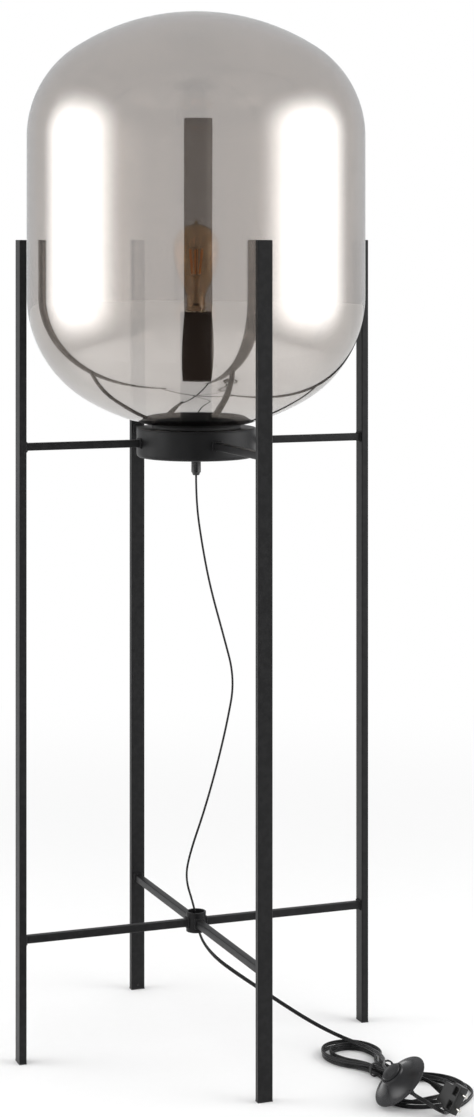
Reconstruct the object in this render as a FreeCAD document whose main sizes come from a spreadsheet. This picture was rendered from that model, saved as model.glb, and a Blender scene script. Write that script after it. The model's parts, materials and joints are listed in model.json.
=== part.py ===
import FreeCAD, Part
import math
import operator
import os
import Sketcher

# A floor lamp with an oval glass globe between four legs.
# The origin is on the floor, on the lamp's upright axis. The crossbars lie along X and Y.
# Every length is in millimetres.

Vector = FreeCAD.Vector
Rotation = FreeCAD.Rotation
UP = Vector(0, 0, 1)
QUARTERS = (("right", 1, 0), ("back", 0, 1), ("left", -1, 0), ("front", 0, -1))

os.makedirs("parts", exist_ok=True)
doc = FreeCAD.newDocument("GlobeFloorLamp")
sheet = doc.addObject("Spreadsheet::Sheet", "Sizes")
pieces = []


# ------------------------------------------------------------------ sizes kept in the sheet

OPERATIONS = {"+": operator.add, "-": operator.sub, "*": operator.mul, "/": operator.truediv}


class Size(float):
    """A number that remembers the sheet formula it comes from."""

    def __new__(cls, value, formula):
        made = float.__new__(cls, value)
        made.formula = formula
        return made

    def __add__(self, other):
        return combined(self, "+", other)

    def __radd__(self, other):
        return combined(other, "+", self)

    def __sub__(self, other):
        return combined(self, "-", other)

    def __rsub__(self, other):
        return combined(other, "-", self)

    def __mul__(self, other):
        return combined(self, "*", other)

    def __rmul__(self, other):
        return combined(other, "*", self)

    def __truediv__(self, other):
        return combined(self, "/", other)

    def __rtruediv__(self, other):
        return combined(other, "/", self)

    def __neg__(self):
        return combined(-1, "*", self)


def formula(value):
    return value.formula if isinstance(value, Size) else "(%r)" % float(value)


def combined(first, sign, second):
    value = OPERATIONS[sign](float(first), float(second))
    return Size(value, "(%s %s %s)" % (formula(first), sign, formula(second)))


def root(value):
    return Size(math.sqrt(value), "sqrt(%s)" % formula(value))


def size(alias, value):
    """Write one driving size into the next cell of the sheet."""
    cell = "A%d" % (len(sheet.getUsedCells()) + 1)
    sheet.set(cell, repr(value))
    sheet.setAlias(cell, alias)
    return Size(value, "Sizes." + alias)


# legs and crossbars
leg_height = size("leg_height", 1090.0)
leg_wide = size("leg_wide", 20.0)
leg_deep = size("leg_deep", 10.0)
tube_wall = size("tube_wall", 1.2)
tube_corner = size("tube_corner", 1.2)
cap_thick = size("cap_thick", 2.0)
cap_rounding = size("cap_rounding", 0.8)
bar_side = size("bar_side", 10.0)
upper_bar_height = size("upper_bar_height", 815.6)
lower_bar_height = size("lower_bar_height", 162.5)
hub_radius = size("hub_radius", 13.5)
hub_bore = size("hub_bore", 11.0)
hub_above = size("hub_above", 14.5)
hub_below = size("hub_below", 12.5)
hub_top = lower_bar_height + hub_above
hub_bottom = lower_bar_height - hub_below
weld_width = size("weld_width", 1.8)
weld_reach = size("weld_reach", 2.4)
foot_flange = size("foot_flange", 1.5)
foot_plug_depth = size("foot_plug_depth", 15.0)
foot_plug_wall = size("foot_plug_wall", 1.6)
foot_fit = size("foot_fit", 0.1)
nib_height = size("nib_height", 6.5)
nib_radius = size("nib_radius", 1.5)

# drum and gasket
drum_radius = size("drum_radius", 81.0)
drum_below_bar = size("drum_below_bar", 20.6)
drum_height = size("drum_height", 40.0)
drum_bottom = upper_bar_height - drum_below_bar
drum_top = drum_bottom + drum_height
drum_corner = size("drum_corner", 6.0)
sheet_wall = size("sheet_wall", 1.5)
plate_thick = size("plate_thick", 1.6)
plate_rounding = size("plate_rounding", 0.8)
spigot_depth = size("spigot_depth", 4.0)
spigot_fit = size("spigot_fit", 0.3)
gasket_bore = size("gasket_bore", 53.0)
gasket_rim = size("gasket_rim", 1.0)
gasket_upstand = size("gasket_upstand", 5.0)
gasket_fit = size("gasket_fit", 0.4)

# glass globe
glass_radius = size("glass_radius", 230.0)
glass_sunk = size("glass_sunk", 3.0)
glass_bowl = size("glass_bowl", 183.0)
glass_side = size("glass_side", 215.0)
glass_crown = size("glass_crown", 170.0)
glass_upper_corner = size("glass_upper_corner", 145.0)
glass_lower_corner = size("glass_lower_corner", 165.0)
glass_wall = size("glass_wall", 3.2)
neck_radius = size("neck_radius", 59.5)
neck_bore = size("neck_bore", 56.0)
leg_clearance = size("leg_clearance", 12.4)
glass_pole = drum_top - glass_sunk
glass_side_bottom = glass_pole + glass_bowl
glass_side_top = glass_side_bottom + glass_side
glass_top = glass_side_top + glass_crown

# sleeve, threaded tube and lamp holder
sleeve_radius = size("sleeve_radius", 21.5)
sleeve_wall = size("sleeve_wall", 1.2)
sleeve_height = size("sleeve_height", 157.0)
sleeve_top = drum_top + sleeve_height
rod_radius = size("rod_radius", 5.0)
rod_bore = size("rod_bore", 3.8)
rod_below = size("rod_below", 16.0)
rod_in_holder = size("rod_in_holder", 6.0)
rod_bottom = drum_bottom - rod_below
rod_fit = size("rod_fit", 0.15)
nut_flats = size("nut_flats", 14.0)
nut_thick = size("nut_thick", 4.0)
washer_radius = size("washer_radius", 10.0)
washer_thick = size("washer_thick", 1.5)
grip_radius = size("grip_radius", 6.5)
grip_nose = size("grip_nose", 8.0)
grip_bottom = rod_bottom - grip_nose
grip_bore = size("grip_bore", 2.2)
wire_radius = size("wire_radius", 0.9)
wire_apart = size("wire_apart", 1.2)
holder_radius = size("holder_radius", 19.6)
holder_height = size("holder_height", 60.5)
holder_inset = size("holder_inset", 1.5)
holder_wall = size("holder_wall", 1.6)
holder_top = sleeve_top - holder_inset
holder_bottom = holder_top - holder_height
rod_top = holder_bottom + rod_in_holder
insert_rise = size("insert_rise", 11.0)
insert_height = size("insert_height", 25.0)
insert_bottom = holder_bottom + insert_rise
insert_top = insert_bottom + insert_height
shell_bore = size("shell_bore", 13.5)
shell_wall = size("shell_wall", 0.5)
shell_inset = size("shell_inset", 2.5)
shell_top = holder_top - shell_inset
thread_pitch = size("thread_pitch", 3.62)
thread_depth = size("thread_depth", 0.7)

# bulb
contact_gap = size("contact_gap", 2.0)
cap_height = size("cap_height", 26.0)
bulb_height = size("bulb_height", 118.0)
bulb_pip = size("bulb_pip", 6.0)
cap_bottom = insert_top + contact_gap
bulb_seat = cap_bottom + cap_height
bulb_crown = bulb_seat + bulb_height
bulb_tip = bulb_crown + bulb_pip
bulb_radius = size("bulb_radius", 32.0)
bulb_flank = size("bulb_flank", 110.0)
bulb_bend = size("bulb_bend", 56.0)
bulb_neck = size("bulb_neck", 12.5)
bulb_wall = size("bulb_wall", 0.8)
cap_crest = size("cap_crest", 13.2)
filament_rise = size("filament_rise", 50.0)
filament_length = size("filament_length", 33.0)
filament_bottom = bulb_seat + filament_rise
filament_top = filament_bottom + filament_length
filament_count = 6

# cord, hank and tie
cord_diameter = size("cord_diameter", 5.0)
hang_turn = size("hang_turn", -20.5)
waist_x = size("waist_x", 179.5)
waist_y = size("waist_y", -211.2)
waist_turn = size("waist_turn", -80.5)
hank_floor = size("hank_floor", 2.6)
hank_layer = size("hank_layer", 5.6)
hank_lift = size("hank_lift", 1.6)
waist_half = size("waist_half", 13.6)
waist_step = size("waist_step", 7.2)
tie_wide = size("tie_wide", 4.0)
tie_thick = size("tie_thick", 1.1)
tie_top = size("tie_top", 16.5)
tie_slack = size("tie_slack", 0.5)

# foot switch
switch_along = size("switch_along", 104.6)
switch_across = size("switch_across", -43.6)
switch_height = size("switch_height", 31.0)
switch_turn = size("switch_turn", -13.2)
switch_tilt = size("switch_tilt", 42.0)
switch_radius = size("switch_radius", 39.0)
switch_rim = size("switch_rim", 1.5)
collar_radius = size("collar_radius", 15.8)
collar_top = size("collar_top", 15.5)
cover_wall = size("cover_wall", 2.0)
base_depth = size("base_depth", 5.0)
base_radius = size("base_radius", 30.0)
base_wall = size("base_wall", 2.0)
button_radius = size("button_radius", 13.2)
button_top = size("button_top", 20.0)
button_dome = size("button_dome", 1.2)
button_skirt = size("button_skirt", 7.0)
button_travel = size("button_travel", 3.0)
button_fit = size("button_fit", 0.4)
plunger_radius = size("plunger_radius", 3.0)
plunger_bottom = size("plunger_bottom", 2.0)
spring_radius = size("spring_radius", 5.2)
spring_wire = size("spring_wire", 0.4)
spring_turns = 5
bush_radius = size("bush_radius", 3.2)
bush_depth = size("bush_depth", 2.2)
bush_inner = size("bush_inner", 33.0)
bush_outer = size("bush_outer", 41.0)
notch_inner = size("notch_inner", 31.0)
notch_top = size("notch_top", 1.3)
notch_fit = size("notch_fit", 0.2)

# plug
plug_along = size("plug_along", 138.9)
plug_across = size("plug_across", -13.7)
plug_height = size("plug_height", 30.85)
plug_turn = size("plug_turn", 6.3)
plug_dip = size("plug_dip", 9.5)
plug_roll = size("plug_roll", 62.0)
plug_block_wide = size("plug_block_wide", 35.3)
plug_body_wide = size("plug_body_wide", 26.0)
plug_thick = size("plug_thick", 13.7)
plug_relief = size("plug_relief", 18.0)
plug_shoulder = size("plug_shoulder", 31.0)
plug_front = size("plug_front", 46.0)
plug_rounding = size("plug_rounding", 2.5)
window_wide = size("window_wide", 10.0)
window_back = size("window_back", 36.5)
window_front = size("window_front", 42.9)
pin_radius = size("pin_radius", 2.0)
pin_spacing = size("pin_spacing", 18.0)
pin_tip = size("pin_tip", 54.0)

# worked out from the driving sizes
leg_inside = glass_radius + leg_clearance
leg_centre = leg_inside + leg_deep / 2
casing_top = drum_top - plate_thick
cord_radius = cord_diameter / 2


# ------------------------------------------------------------------ ways of making a piece

def kept(thing, name):
    """Count a finished object as one sub-part of the lamp, under its own name."""
    thing.Label = name
    pieces.append(thing)
    return thing


def outline(sketch, points, arcs):
    """A closed loop. arcs gives a side its radius, and 1 or -1 for a centre on its left or right."""
    first = sketch.GeometryCount
    ends = []
    for side, point in enumerate(points):
        start = Vector(point[0], point[1], 0)
        end = Vector(*points[(side + 1) % len(points)], 0)
        if side not in arcs:
            sketch.addGeometry(Part.LineSegment(start, end))
            ends.append((1, 2))
            continue
        radius, way = arcs[side]
        chord = end - start
        offset = math.sqrt(max(float(radius) ** 2 - chord.Length ** 2 / 4, 0))
        centre = (start + end) / 2 + Vector(-chord.y, chord.x, 0).normalize() * (way * offset)
        begin, finish = (start, end) if way > 0 else (end, start)
        angles = [math.atan2(p.y - centre.y, p.x - centre.x) for p in (begin, finish)]
        if angles[1] < angles[0]:
            angles[1] += 2 * math.pi
        circle = Part.Circle(centre, UP, float(radius))
        index = sketch.addGeometry(Part.ArcOfCircle(circle, *angles))
        bound(sketch, Sketcher.Constraint("Radius", index, float(radius)), radius)
        ends.append((1, 2) if way > 0 else (2, 1))
    for side, point in enumerate(points):
        after = (side + 1) % len(points)
        join = ("Coincident", first + side, ends[side][1], first + after, ends[after][0])
        sketch.addConstraint(Sketcher.Constraint(*join))
        for kind, value in (("DistanceX", point[0]), ("DistanceY", point[1])):
            corner = Sketcher.Constraint(kind, first + side, ends[side][0], float(value))
            bound(sketch, corner, value)


def round_loop(sketch, radius, x, y):
    circle = sketch.addGeometry(Part.Circle(Vector(x, y, 0), UP, float(radius)))
    bound(sketch, Sketcher.Constraint("Radius", circle, float(radius)), radius)
    bound(sketch, Sketcher.Constraint("DistanceX", circle, 3, float(x)), x)
    bound(sketch, Sketcher.Constraint("DistanceY", circle, 3, float(y)), y)


def bound(sketch, constraint, value):
    index = sketch.addConstraint(constraint)
    sketch.setExpression("Constraints[%d]" % index, formula(value))


def sketched(body, role, loops):
    sketch = body.newObject("Sketcher::SketchObject", body.Name + "_outline")
    planes = [feature for feature in body.Origin.OriginFeatures if feature.Role == role]
    sketch.AttachmentSupport = [(planes[0], "")]
    sketch.MapMode = "FlatFace"
    for loop in loops:
        if len(loop) == 3:
            round_loop(sketch, *loop)
        else:
            outline(sketch, *loop)
    return sketch


def revolved(name, points, arcs=None):
    """A body turned about Z, from an outline whose x is the radius and whose y is the height."""
    body = doc.addObject("PartDesign::Body", name)
    sketch = sketched(body, "XZ_Plane", [(points, arcs or {})])
    turned = body.newObject("PartDesign::Revolution", name + "_turned")
    turned.Profile = sketch
    turned.ReferenceAxis = (sketch, ["V_Axis"])
    turned.Angle = 360
    return body


def padded(name, role, loops, length):
    """A body pushed out of one origin plane: XY_Plane goes up Z, YZ_Plane goes along X."""
    body = doc.addObject("PartDesign::Body", name)
    pad = body.newObject("PartDesign::Pad", name + "_pad")
    pad.Profile = sketched(body, role, loops)
    pad.setExpression("Length", formula(length))
    return body


def rounded(body, radius, wanted, kind="Fillet"):
    """Round or chamfer the edges of a body that the test picks."""
    doc.recompute()
    base = body.Tip
    edges = ["Edge%d" % (i + 1) for i, edge in enumerate(base.Shape.Edges) if wanted(edge)]
    feature = body.newObject("PartDesign::" + kind, "%s_%s" % (body.Name, kind.lower()))
    feature.Base = (base, edges)
    feature.setExpression("Radius" if kind == "Fillet" else "Size", formula(radius))
    return body


def pocketed(body, role, loops, both_sides=False):
    """Cut an outline through a body, against the plane's normal or both ways."""
    doc.recompute()
    before = body.Shape.Volume
    sketch = sketched(body, role, loops)
    pocket = body.newObject("PartDesign::Pocket", body.Name + "_pocket")
    pocket.Profile = sketch
    pocket.Type = 1
    pocket.Midplane = both_sides
    doc.recompute()
    if not body.Shape.Volume < before - 0.001:
        raise ValueError("the pocket in %s cuts nothing" % body.Name)
    return body


def box_loop(x0, y0, x1, y1):
    return [(x0, y0), (x1, y0), (x1, y1), (x0, y1)], {}


def centred_loop(wide, high, middle=0):
    return box_loop(-wide / 2, middle - high / 2, wide / 2, middle + high / 2)


def circle_loop(radius, x=0, y=0):
    return radius, x, y


def placed(thing, x=0, y=0, z=0, rotation=None):
    thing.Placement = FreeCAD.Placement(Vector(x, y, z), rotation or Rotation())
    for axis, value in zip("xyz", (x, y, z)):
        if isinstance(value, Size):
            thing.setExpression("Placement.Base." + axis, formula(value))
    return thing


def quarter_turn(along, across):
    return Rotation(UP, math.degrees(math.atan2(across, along)))


def rod(name, radius, start, length, x=0, y=0):
    """An upright cylinder from its start height."""
    made = doc.addObject("Part::Cylinder", name)
    made.setExpression("Radius", formula(radius))
    made.setExpression("Height", formula(length))
    return placed(made, x, y, start)


def cut(name, base, tools):
    """A solid less one or several others."""
    tool = tools[0]
    if len(tools) > 1:
        tool = doc.addObject("Part::Compound", name + "_tools")
        tool.Links = tools
    made = doc.addObject("Part::Cut", name)
    made.Base = base
    made.Tool = tool
    return made


def grouped(name, members):
    made = doc.addObject("Part::Compound", name)
    made.Links = members
    return kept(made, name)


def upright(edge):
    return abs(edge.tangentAt(edge.FirstParameter).z) > 0.99


# ------------------------------------------------------------------ frame

def leg(place, along, across):
    """A steel tube with a small round hole in its inner face, just above the floor."""
    length = leg_height - foot_flange - cap_thick
    walls = [centred_loop(leg_deep, leg_wide)]
    walls.append(centred_loop(leg_deep - 2 * tube_wall, leg_wide - 2 * tube_wall))
    body = padded("leg_" + place, "XY_Plane", walls, length)

    def outer(edge):
        return upright(edge) and abs(edge.Vertexes[0].Y) > leg_wide / 2 - 0.01

    rounded(body, tube_corner, outer)
    pocketed(body, "YZ_Plane", [circle_loop(nib_radius, 0, nib_height - foot_flange)])
    turn = quarter_turn(along, across)
    kept(placed(body, along * leg_centre, across * leg_centre, foot_flange, turn), body.Name)


def leg_cap(place, along, across):
    """The plate welded flat over the top of a leg, with its upper edges rounded."""
    body = padded("leg_cap_" + place, "XY_Plane", [centred_loop(leg_deep, leg_wide)], cap_thick)
    rounded(body, tube_corner, upright)

    def top(edge):
        return min(vertex.Z for vertex in edge.Vertexes) > cap_thick - 0.01

    rounded(body, cap_rounding, top)
    turn = quarter_turn(along, across)
    height = leg_height - cap_thick
    kept(placed(body, along * leg_centre, across * leg_centre, height, turn), body.Name)


def foot_plug(place, along, across):
    """A plastic plug under a leg: a flange, a hollow spigot and a nib that fills the leg's hole."""
    name = "foot_plug_" + place
    flange = doc.addObject("Part::Box", name + "_flange")
    spigot = doc.addObject("Part::Box", name + "_spigot")
    hollow = doc.addObject("Part::Box", name + "_hollow")
    inset = tube_wall + foot_fit
    for part, gap, low, high in (
        (flange, 0 * inset, 0 * inset, foot_flange),
        (spigot, inset, foot_flange / 2, foot_flange / 2 + foot_plug_depth),
        (hollow, inset + foot_plug_wall, foot_flange, foot_plug_depth + foot_flange * 2),
    ):
        part.setExpression("Length", formula(leg_deep - 2 * gap))
        part.setExpression("Width", formula(leg_wide - 2 * gap))
        part.setExpression("Height", formula(high - low))
        placed(part, gap - leg_deep / 2, gap - leg_wide / 2, low)
    nib = doc.addObject("Part::Cylinder", name + "_nib")
    nib.setExpression("Radius", formula(nib_radius - foot_fit))
    nib.setExpression("Height", formula(inset + foot_plug_wall / 2))
    placed(nib, -leg_deep / 2, 0, nib_height, Rotation(Vector(0, 1, 0), 90))
    walls = cut(name + "_walls", spigot, [hollow])
    plug = doc.addObject("Part::MultiFuse", name)
    plug.Shapes = [flange, walls, nib]
    turn = quarter_turn(along, across)
    kept(placed(plug, along * leg_centre, across * leg_centre, 0, turn), name)


def crossbar(level, place, along, across, height, inner_end):
    """A square tube from the drum or the hub to the inner face of a leg."""
    walls = [centred_loop(bar_side, bar_side)]
    walls.append(centred_loop(bar_side - 2 * tube_wall, bar_side - 2 * tube_wall))
    body = padded("%s_bar_%s" % (level, place), "YZ_Plane", walls, leg_inside - inner_end)

    def outer(edge):
        return abs(edge.tangentAt(edge.FirstParameter).x) > 0.99 and (
            abs(edge.Vertexes[0].Y) > bar_side / 2 - 0.01
        )

    rounded(body, tube_corner, outer)
    turn = quarter_turn(along, across)
    kept(placed(body, along * inner_end, across * inner_end, height, turn), body.Name)


def bead_loops():
    wide = bar_side + 2 * weld_width
    return [centred_loop(wide, wide), centred_loop(bar_side, bar_side)]


def far_rim(reach):
    def wanted(edge):
        points = [vertex.Point for vertex in edge.Vertexes]
        outside = max(max(abs(p.y), abs(p.z)) for p in points) > bar_side / 2 + 0.1
        return outside and min(p.x for p in points) > reach - 0.01
    return wanted


def leg_weld(name, along, across, height):
    """A bead round the outer end of a crossbar, on the leg's flat face."""
    body = padded(name, "YZ_Plane", bead_loops(), weld_reach)
    rounded(body, weld_width * 0.85, far_rim(weld_reach), "Chamfer")
    turn = quarter_turn(-along, -across)
    return placed(body, along * leg_inside, across * leg_inside, height, turn)


def round_weld(name, along, across, height, radius):
    """A bead round the inner end of a crossbar, shaped to the round wall it meets."""
    reach = radius + weld_reach
    body = padded(name, "YZ_Plane", bead_loops(), reach)
    rounded(body, weld_width * 0.85, far_rim(reach), "Chamfer")
    pocketed(body, "XY_Plane", [circle_loop(radius)], both_sides=True)
    return placed(body, 0, 0, height, quarter_turn(along, across))


def frame():
    at_legs, at_drum, at_hub = [], [], []
    for place, along, across in QUARTERS:
        leg(place, along, across)
        leg_cap(place, along, across)
        foot_plug(place, along, across)
        crossbar("upper", place, along, across, upper_bar_height, drum_radius)
        crossbar("lower", place, along, across, lower_bar_height, hub_radius)
        for level, height in (("upper", upper_bar_height), ("lower", lower_bar_height)):
            at_legs.append(leg_weld("weld_%s_%s" % (level, place), along, across, height))
        at_drum.append(
            round_weld("weld_drum_" + place, along, across, upper_bar_height, drum_radius)
        )
        at_hub.append(round_weld("weld_hub_" + place, along, across, lower_bar_height, hub_radius))
    grouped("leg_welds", at_legs)
    grouped("drum_welds", at_drum)
    grouped("hub_welds", at_hub)
    tube = box_loop(hub_bore, hub_bottom, hub_radius, hub_top)
    kept(revolved("hub", *tube), "hub")


# ------------------------------------------------------------------ drum and glass

def drum():
    """A deep cup, the plate that closes it, and the soft ring the glass stands on."""
    hole = rod_radius + rod_fit
    inner = drum_radius - sheet_wall
    floor = drum_bottom + sheet_wall
    corner = drum_bottom + drum_corner
    cup = [
        (hole, drum_bottom),
        (drum_radius - drum_corner, drum_bottom),
        (drum_radius, corner),
        (drum_radius, casing_top),
        (inner, casing_top),
        (inner, corner),
        (drum_radius - drum_corner, floor),
        (hole, floor),
    ]
    inner_corner = drum_corner - sheet_wall
    bends = {1: (drum_corner, 1), 5: (inner_corner, -1)}
    kept(revolved("drum_casing", cup, bends), "drum_casing")

    spigot = inner - spigot_fit
    plate = [
        (hole, casing_top),
        (spigot - sheet_wall, casing_top),
        (spigot - sheet_wall, casing_top - spigot_depth),
        (spigot, casing_top - spigot_depth),
        (spigot, casing_top),
        (drum_radius, casing_top),
        (drum_radius, drum_top - plate_rounding),
        (drum_radius - plate_rounding, drum_top),
        (hole, drum_top),
    ]
    kept(revolved("drum_plate", plate, {6: (plate_rounding, 1)}), "drum_plate")

    upstand = neck_bore - gasket_fit
    ring = [
        (gasket_bore, drum_top),
        (neck_radius + gasket_rim, drum_top),
        (neck_radius + gasket_rim, neck_height()),
        (upstand, neck_height()),
        (upstand, neck_height() + gasket_upstand),
        (gasket_bore, neck_height() + gasket_upstand),
    ]
    kept(revolved("glass_gasket", ring), "glass_gasket")


def crown_radius(reach, corner):
    """Radius of the cap that meets a corner arc smoothly, for a cap of this reach along the axis."""
    return (glass_radius * glass_radius - 2 * glass_radius * corner + reach * reach) / (
        2 * (reach - corner)
    )


def neck_height():
    """Height at which the round bottom of the globe has the radius of its neck."""
    bowl = crown_radius(glass_side_bottom - glass_pole, glass_lower_corner)
    return glass_pole + bowl - root(bowl * bowl - neck_radius * neck_radius)


def glass():
    """An oval globe: a crown and a bowl, each blended into the upright side, and an open neck."""
    dome = crown_radius(glass_top - glass_side_top, glass_upper_corner)
    bowl = crown_radius(glass_side_bottom - glass_pole, glass_lower_corner)
    dome_centre = glass_top - dome
    bowl_centre = glass_pole + bowl

    def meeting(cap_centre, cap, corner, side, inset):
        """Point where the cap meets the corner arc, on the outer or the inner face."""
        across = glass_radius - corner
        share = (cap - inset) / (cap - corner)
        return across * share, cap_centre + (side - cap_centre) * share

    skin = glass_radius - glass_wall
    inner_bowl = bowl - glass_wall
    inner_neck = bowl_centre - root(inner_bowl * inner_bowl - neck_bore * neck_bore)
    points = [
        (neck_radius, neck_height()),
        meeting(bowl_centre, bowl, glass_lower_corner, glass_side_bottom, 0),
        (glass_radius, glass_side_bottom),
        (glass_radius, glass_side_top),
        meeting(dome_centre, dome, glass_upper_corner, glass_side_top, 0),
        (0, glass_top),
        (0, glass_top - glass_wall),
        meeting(dome_centre, dome, glass_upper_corner, glass_side_top, glass_wall),
        (skin, glass_side_top),
        (skin, glass_side_bottom),
        meeting(bowl_centre, bowl, glass_lower_corner, glass_side_bottom, glass_wall),
        (neck_bore, inner_neck),
        (neck_bore, neck_height()),
    ]
    arcs = {
        0: (bowl, 1),
        1: (glass_lower_corner, 1),
        3: (glass_upper_corner, 1),
        4: (dome, 1),
        6: (dome - glass_wall, -1),
        7: (glass_upper_corner - glass_wall, -1),
        9: (glass_lower_corner - glass_wall, -1),
        10: (inner_bowl, -1),
    }
    kept(revolved("glass_shade", points, arcs), "glass_shade")


# ------------------------------------------------------------------ sleeve, rod and holder

def washer(name, height):
    ring = box_loop(rod_radius + rod_fit, height, washer_radius, height + washer_thick)
    return revolved(name, *ring)


def nut(name, height):
    across_corners = nut_flats / math.sqrt(3)
    sides = range(6)
    corners = [
        (
            across_corners * math.cos(math.radians(60 * i)),
            across_corners * math.sin(math.radians(60 * i)),
        )
        for i in sides
    ]
    body = padded(name, "XY_Plane", [(corners, {}), circle_loop(rod_radius)], nut_thick)
    return placed(body, 0, 0, height)


def column():
    """Threaded tube, its nuts and washers, the cord grip below it and the sleeve round it."""
    tube = box_loop(rod_bore, rod_bottom, rod_radius, rod_top)
    kept(revolved("threaded_tube", *tube), "threaded_tube")

    floor = drum_bottom + sheet_wall
    below = drum_bottom - washer_thick
    washers = [washer("washer_below", below), washer("washer_inside", floor)]
    washers.append(washer("washer_above", drum_top))
    grouped("tube_washers", washers)
    nuts = [nut("nut_below", below - nut_thick), nut("nut_inside", floor + washer_thick)]
    nuts.append(nut("nut_above", drum_top + washer_thick))
    grouped("tube_nuts", nuts)

    grip_top = below - nut_thick
    shoulder = rod_bottom
    grip = [
        (grip_bore, grip_bottom),
        (grip_radius - 1, grip_bottom),
        (grip_radius, grip_bottom + 1),
        (grip_radius, grip_top),
        (rod_radius, grip_top),
        (rod_radius, shoulder),
        (grip_bore, shoulder),
    ]
    kept(revolved("cord_grip", grip, {1: (1, 1)}), "cord_grip")

    sleeve = box_loop(sleeve_radius - sleeve_wall, drum_top, sleeve_radius, sleeve_top)
    kept(revolved("lamp_sleeve", *sleeve), "lamp_sleeve")

    wires = []
    for name, side in (("wire_live", 1), ("wire_neutral", -1)):
        start = grip_bottom + 0.2
        across = side * wire_apart
        wires.append(rod(name, wire_radius, start, insert_bottom - start, across))
    grouped("inner_wires", wires)


def thread_profile(crest, low, count, step_out):
    """Points up one face of a rolled thread: root and crest in turn."""
    points = []
    for turn in range(count):
        base = low + thread_pitch * turn
        points.append((crest - thread_depth + step_out, base + thread_pitch * 0.1))
        points.append((crest + step_out, base + thread_pitch * 0.4))
        points.append((crest + step_out, base + thread_pitch * 0.6))
        points.append((crest - thread_depth + step_out, base + thread_pitch * 0.9))
    return points


def holder():
    """The screw lamp holder inside the top of the sleeve."""
    bore = holder_radius - holder_wall
    cup = [
        (rod_radius, holder_bottom),
        (holder_radius, holder_bottom),
        (holder_radius, holder_top),
        (bore, holder_top),
        (bore, holder_bottom + holder_wall),
        (rod_radius, holder_bottom + holder_wall),
    ]
    kept(revolved("holder_shell", cup), "holder_shell")

    insert = revolved("insert_block", *box_loop(0, insert_bottom, bore - 0.1, insert_top))
    bores = [
        rod("insert_bore_" + name, wire_radius + 0.1, insert_bottom - 1, 8, side * wire_apart)
        for name, side in (("live", 1), ("neutral", -1))
    ]
    kept(cut("holder_insert", insert, bores), "holder_insert")

    crest = shell_bore + thread_depth
    low = insert_top + thread_pitch * 0.5
    inner = thread_profile(crest, low, 5, 0)
    outer = thread_profile(crest, low, 5, shell_wall)
    root_radius = shell_bore
    points = [(root_radius, insert_top)] + inner + [(root_radius, shell_top)]
    points += [(root_radius + shell_wall, shell_top)] + outer[::-1]
    points += [(root_radius + shell_wall, insert_top)]
    kept(revolved("holder_screw_shell", points), "holder_screw_shell")

    contact = [
        (0, insert_top),
        (5, insert_top),
        (5, insert_top + 0.6),
        (3, cap_bottom - 0.3),
        (0, cap_bottom - 0.3),
    ]
    kept(revolved("centre_contact", contact), "centre_contact")


# ------------------------------------------------------------------ bulb

def bulb_skin(inset):
    """Half outline of the tapered bulb from its neck up to its crown, on one face."""
    middle = bulb_crown - bulb_radius
    flank = bulb_flank - inset
    lean = bulb_radius - bulb_flank
    drop = root(bulb_flank * bulb_flank - bulb_bend * bulb_bend)
    slope = bulb_bend / bulb_flank
    rise = drop / bulb_flank
    bend = (lean + drop - bulb_neck) / (1 - rise)
    foot = middle - bulb_bend - bend * slope
    join = (lean + flank * rise, middle - flank * slope)
    return {
        "neck": bulb_neck - inset,
        "foot": foot,
        "bend": bend + inset,
        "join": join,
        "flank": flank,
        "middle": middle,
        "radius": bulb_radius - inset,
    }


def bulb():
    outer, inner = bulb_skin(0), bulb_skin(bulb_wall)
    pip = 2.2
    pip_foot = outer["middle"] + root(bulb_radius * bulb_radius - pip * pip)
    points = [
        (outer["neck"], bulb_seat),
        (outer["neck"], outer["foot"]),
        outer["join"],
        (outer["radius"], outer["middle"]),
        (pip, pip_foot),
        (0.9, bulb_tip - 0.6),
        (0, bulb_tip),
        (0, inner["middle"] + inner["radius"]),
        (inner["radius"], inner["middle"]),
        inner["join"],
        (inner["neck"], inner["foot"]),
        (inner["neck"], bulb_seat),
    ]
    arcs = {
        1: (outer["bend"], -1),
        2: (outer["flank"], 1),
        3: (outer["radius"], 1),
        7: (inner["radius"], -1),
        8: (inner["flank"], -1),
        9: (inner["bend"], 1),
    }
    kept(revolved("bulb_glass", points, arcs), "bulb_glass")

    low = cap_bottom + 5.5
    wall = cap_crest - thread_depth - 0.6
    skin = [(cap_crest - thread_depth, cap_bottom + 4.5)]
    skin += thread_profile(cap_crest, low, 4, 0)
    skin += [(cap_crest, low + thread_pitch * 4.1), (cap_crest, bulb_seat)]
    skin += [(wall, bulb_seat), (wall, cap_bottom + 4.5)]
    kept(revolved("bulb_cap", skin), "bulb_cap")

    insulator = [
        (0, cap_bottom + 1),
        (5, cap_bottom + 1),
        (cap_crest - thread_depth, cap_bottom + 4.5),
        (0, cap_bottom + 4.5),
    ]
    kept(revolved("bulb_insulator", insulator), "bulb_insulator")
    contact = [(0, cap_bottom), (3.6, cap_bottom), (4.6, cap_bottom + 1), (0, cap_bottom + 1)]
    kept(revolved("bulb_contact", contact), "bulb_contact")

    stem = [
        (0, bulb_seat),
        (inner["neck"] - 0.2, bulb_seat),
        (inner["neck"] - 0.2, bulb_seat + 1),
        (3.2, bulb_seat + 9),
        (3, filament_bottom - 9),
        (5.5, filament_bottom - 6),
        (5.5, filament_bottom - 3),
        (1.4, filament_bottom),
        (1.2, filament_top + 3),
        (0, filament_top + 3),
    ]
    kept(revolved("bulb_stem", stem), "bulb_stem")
    filaments()


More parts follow.
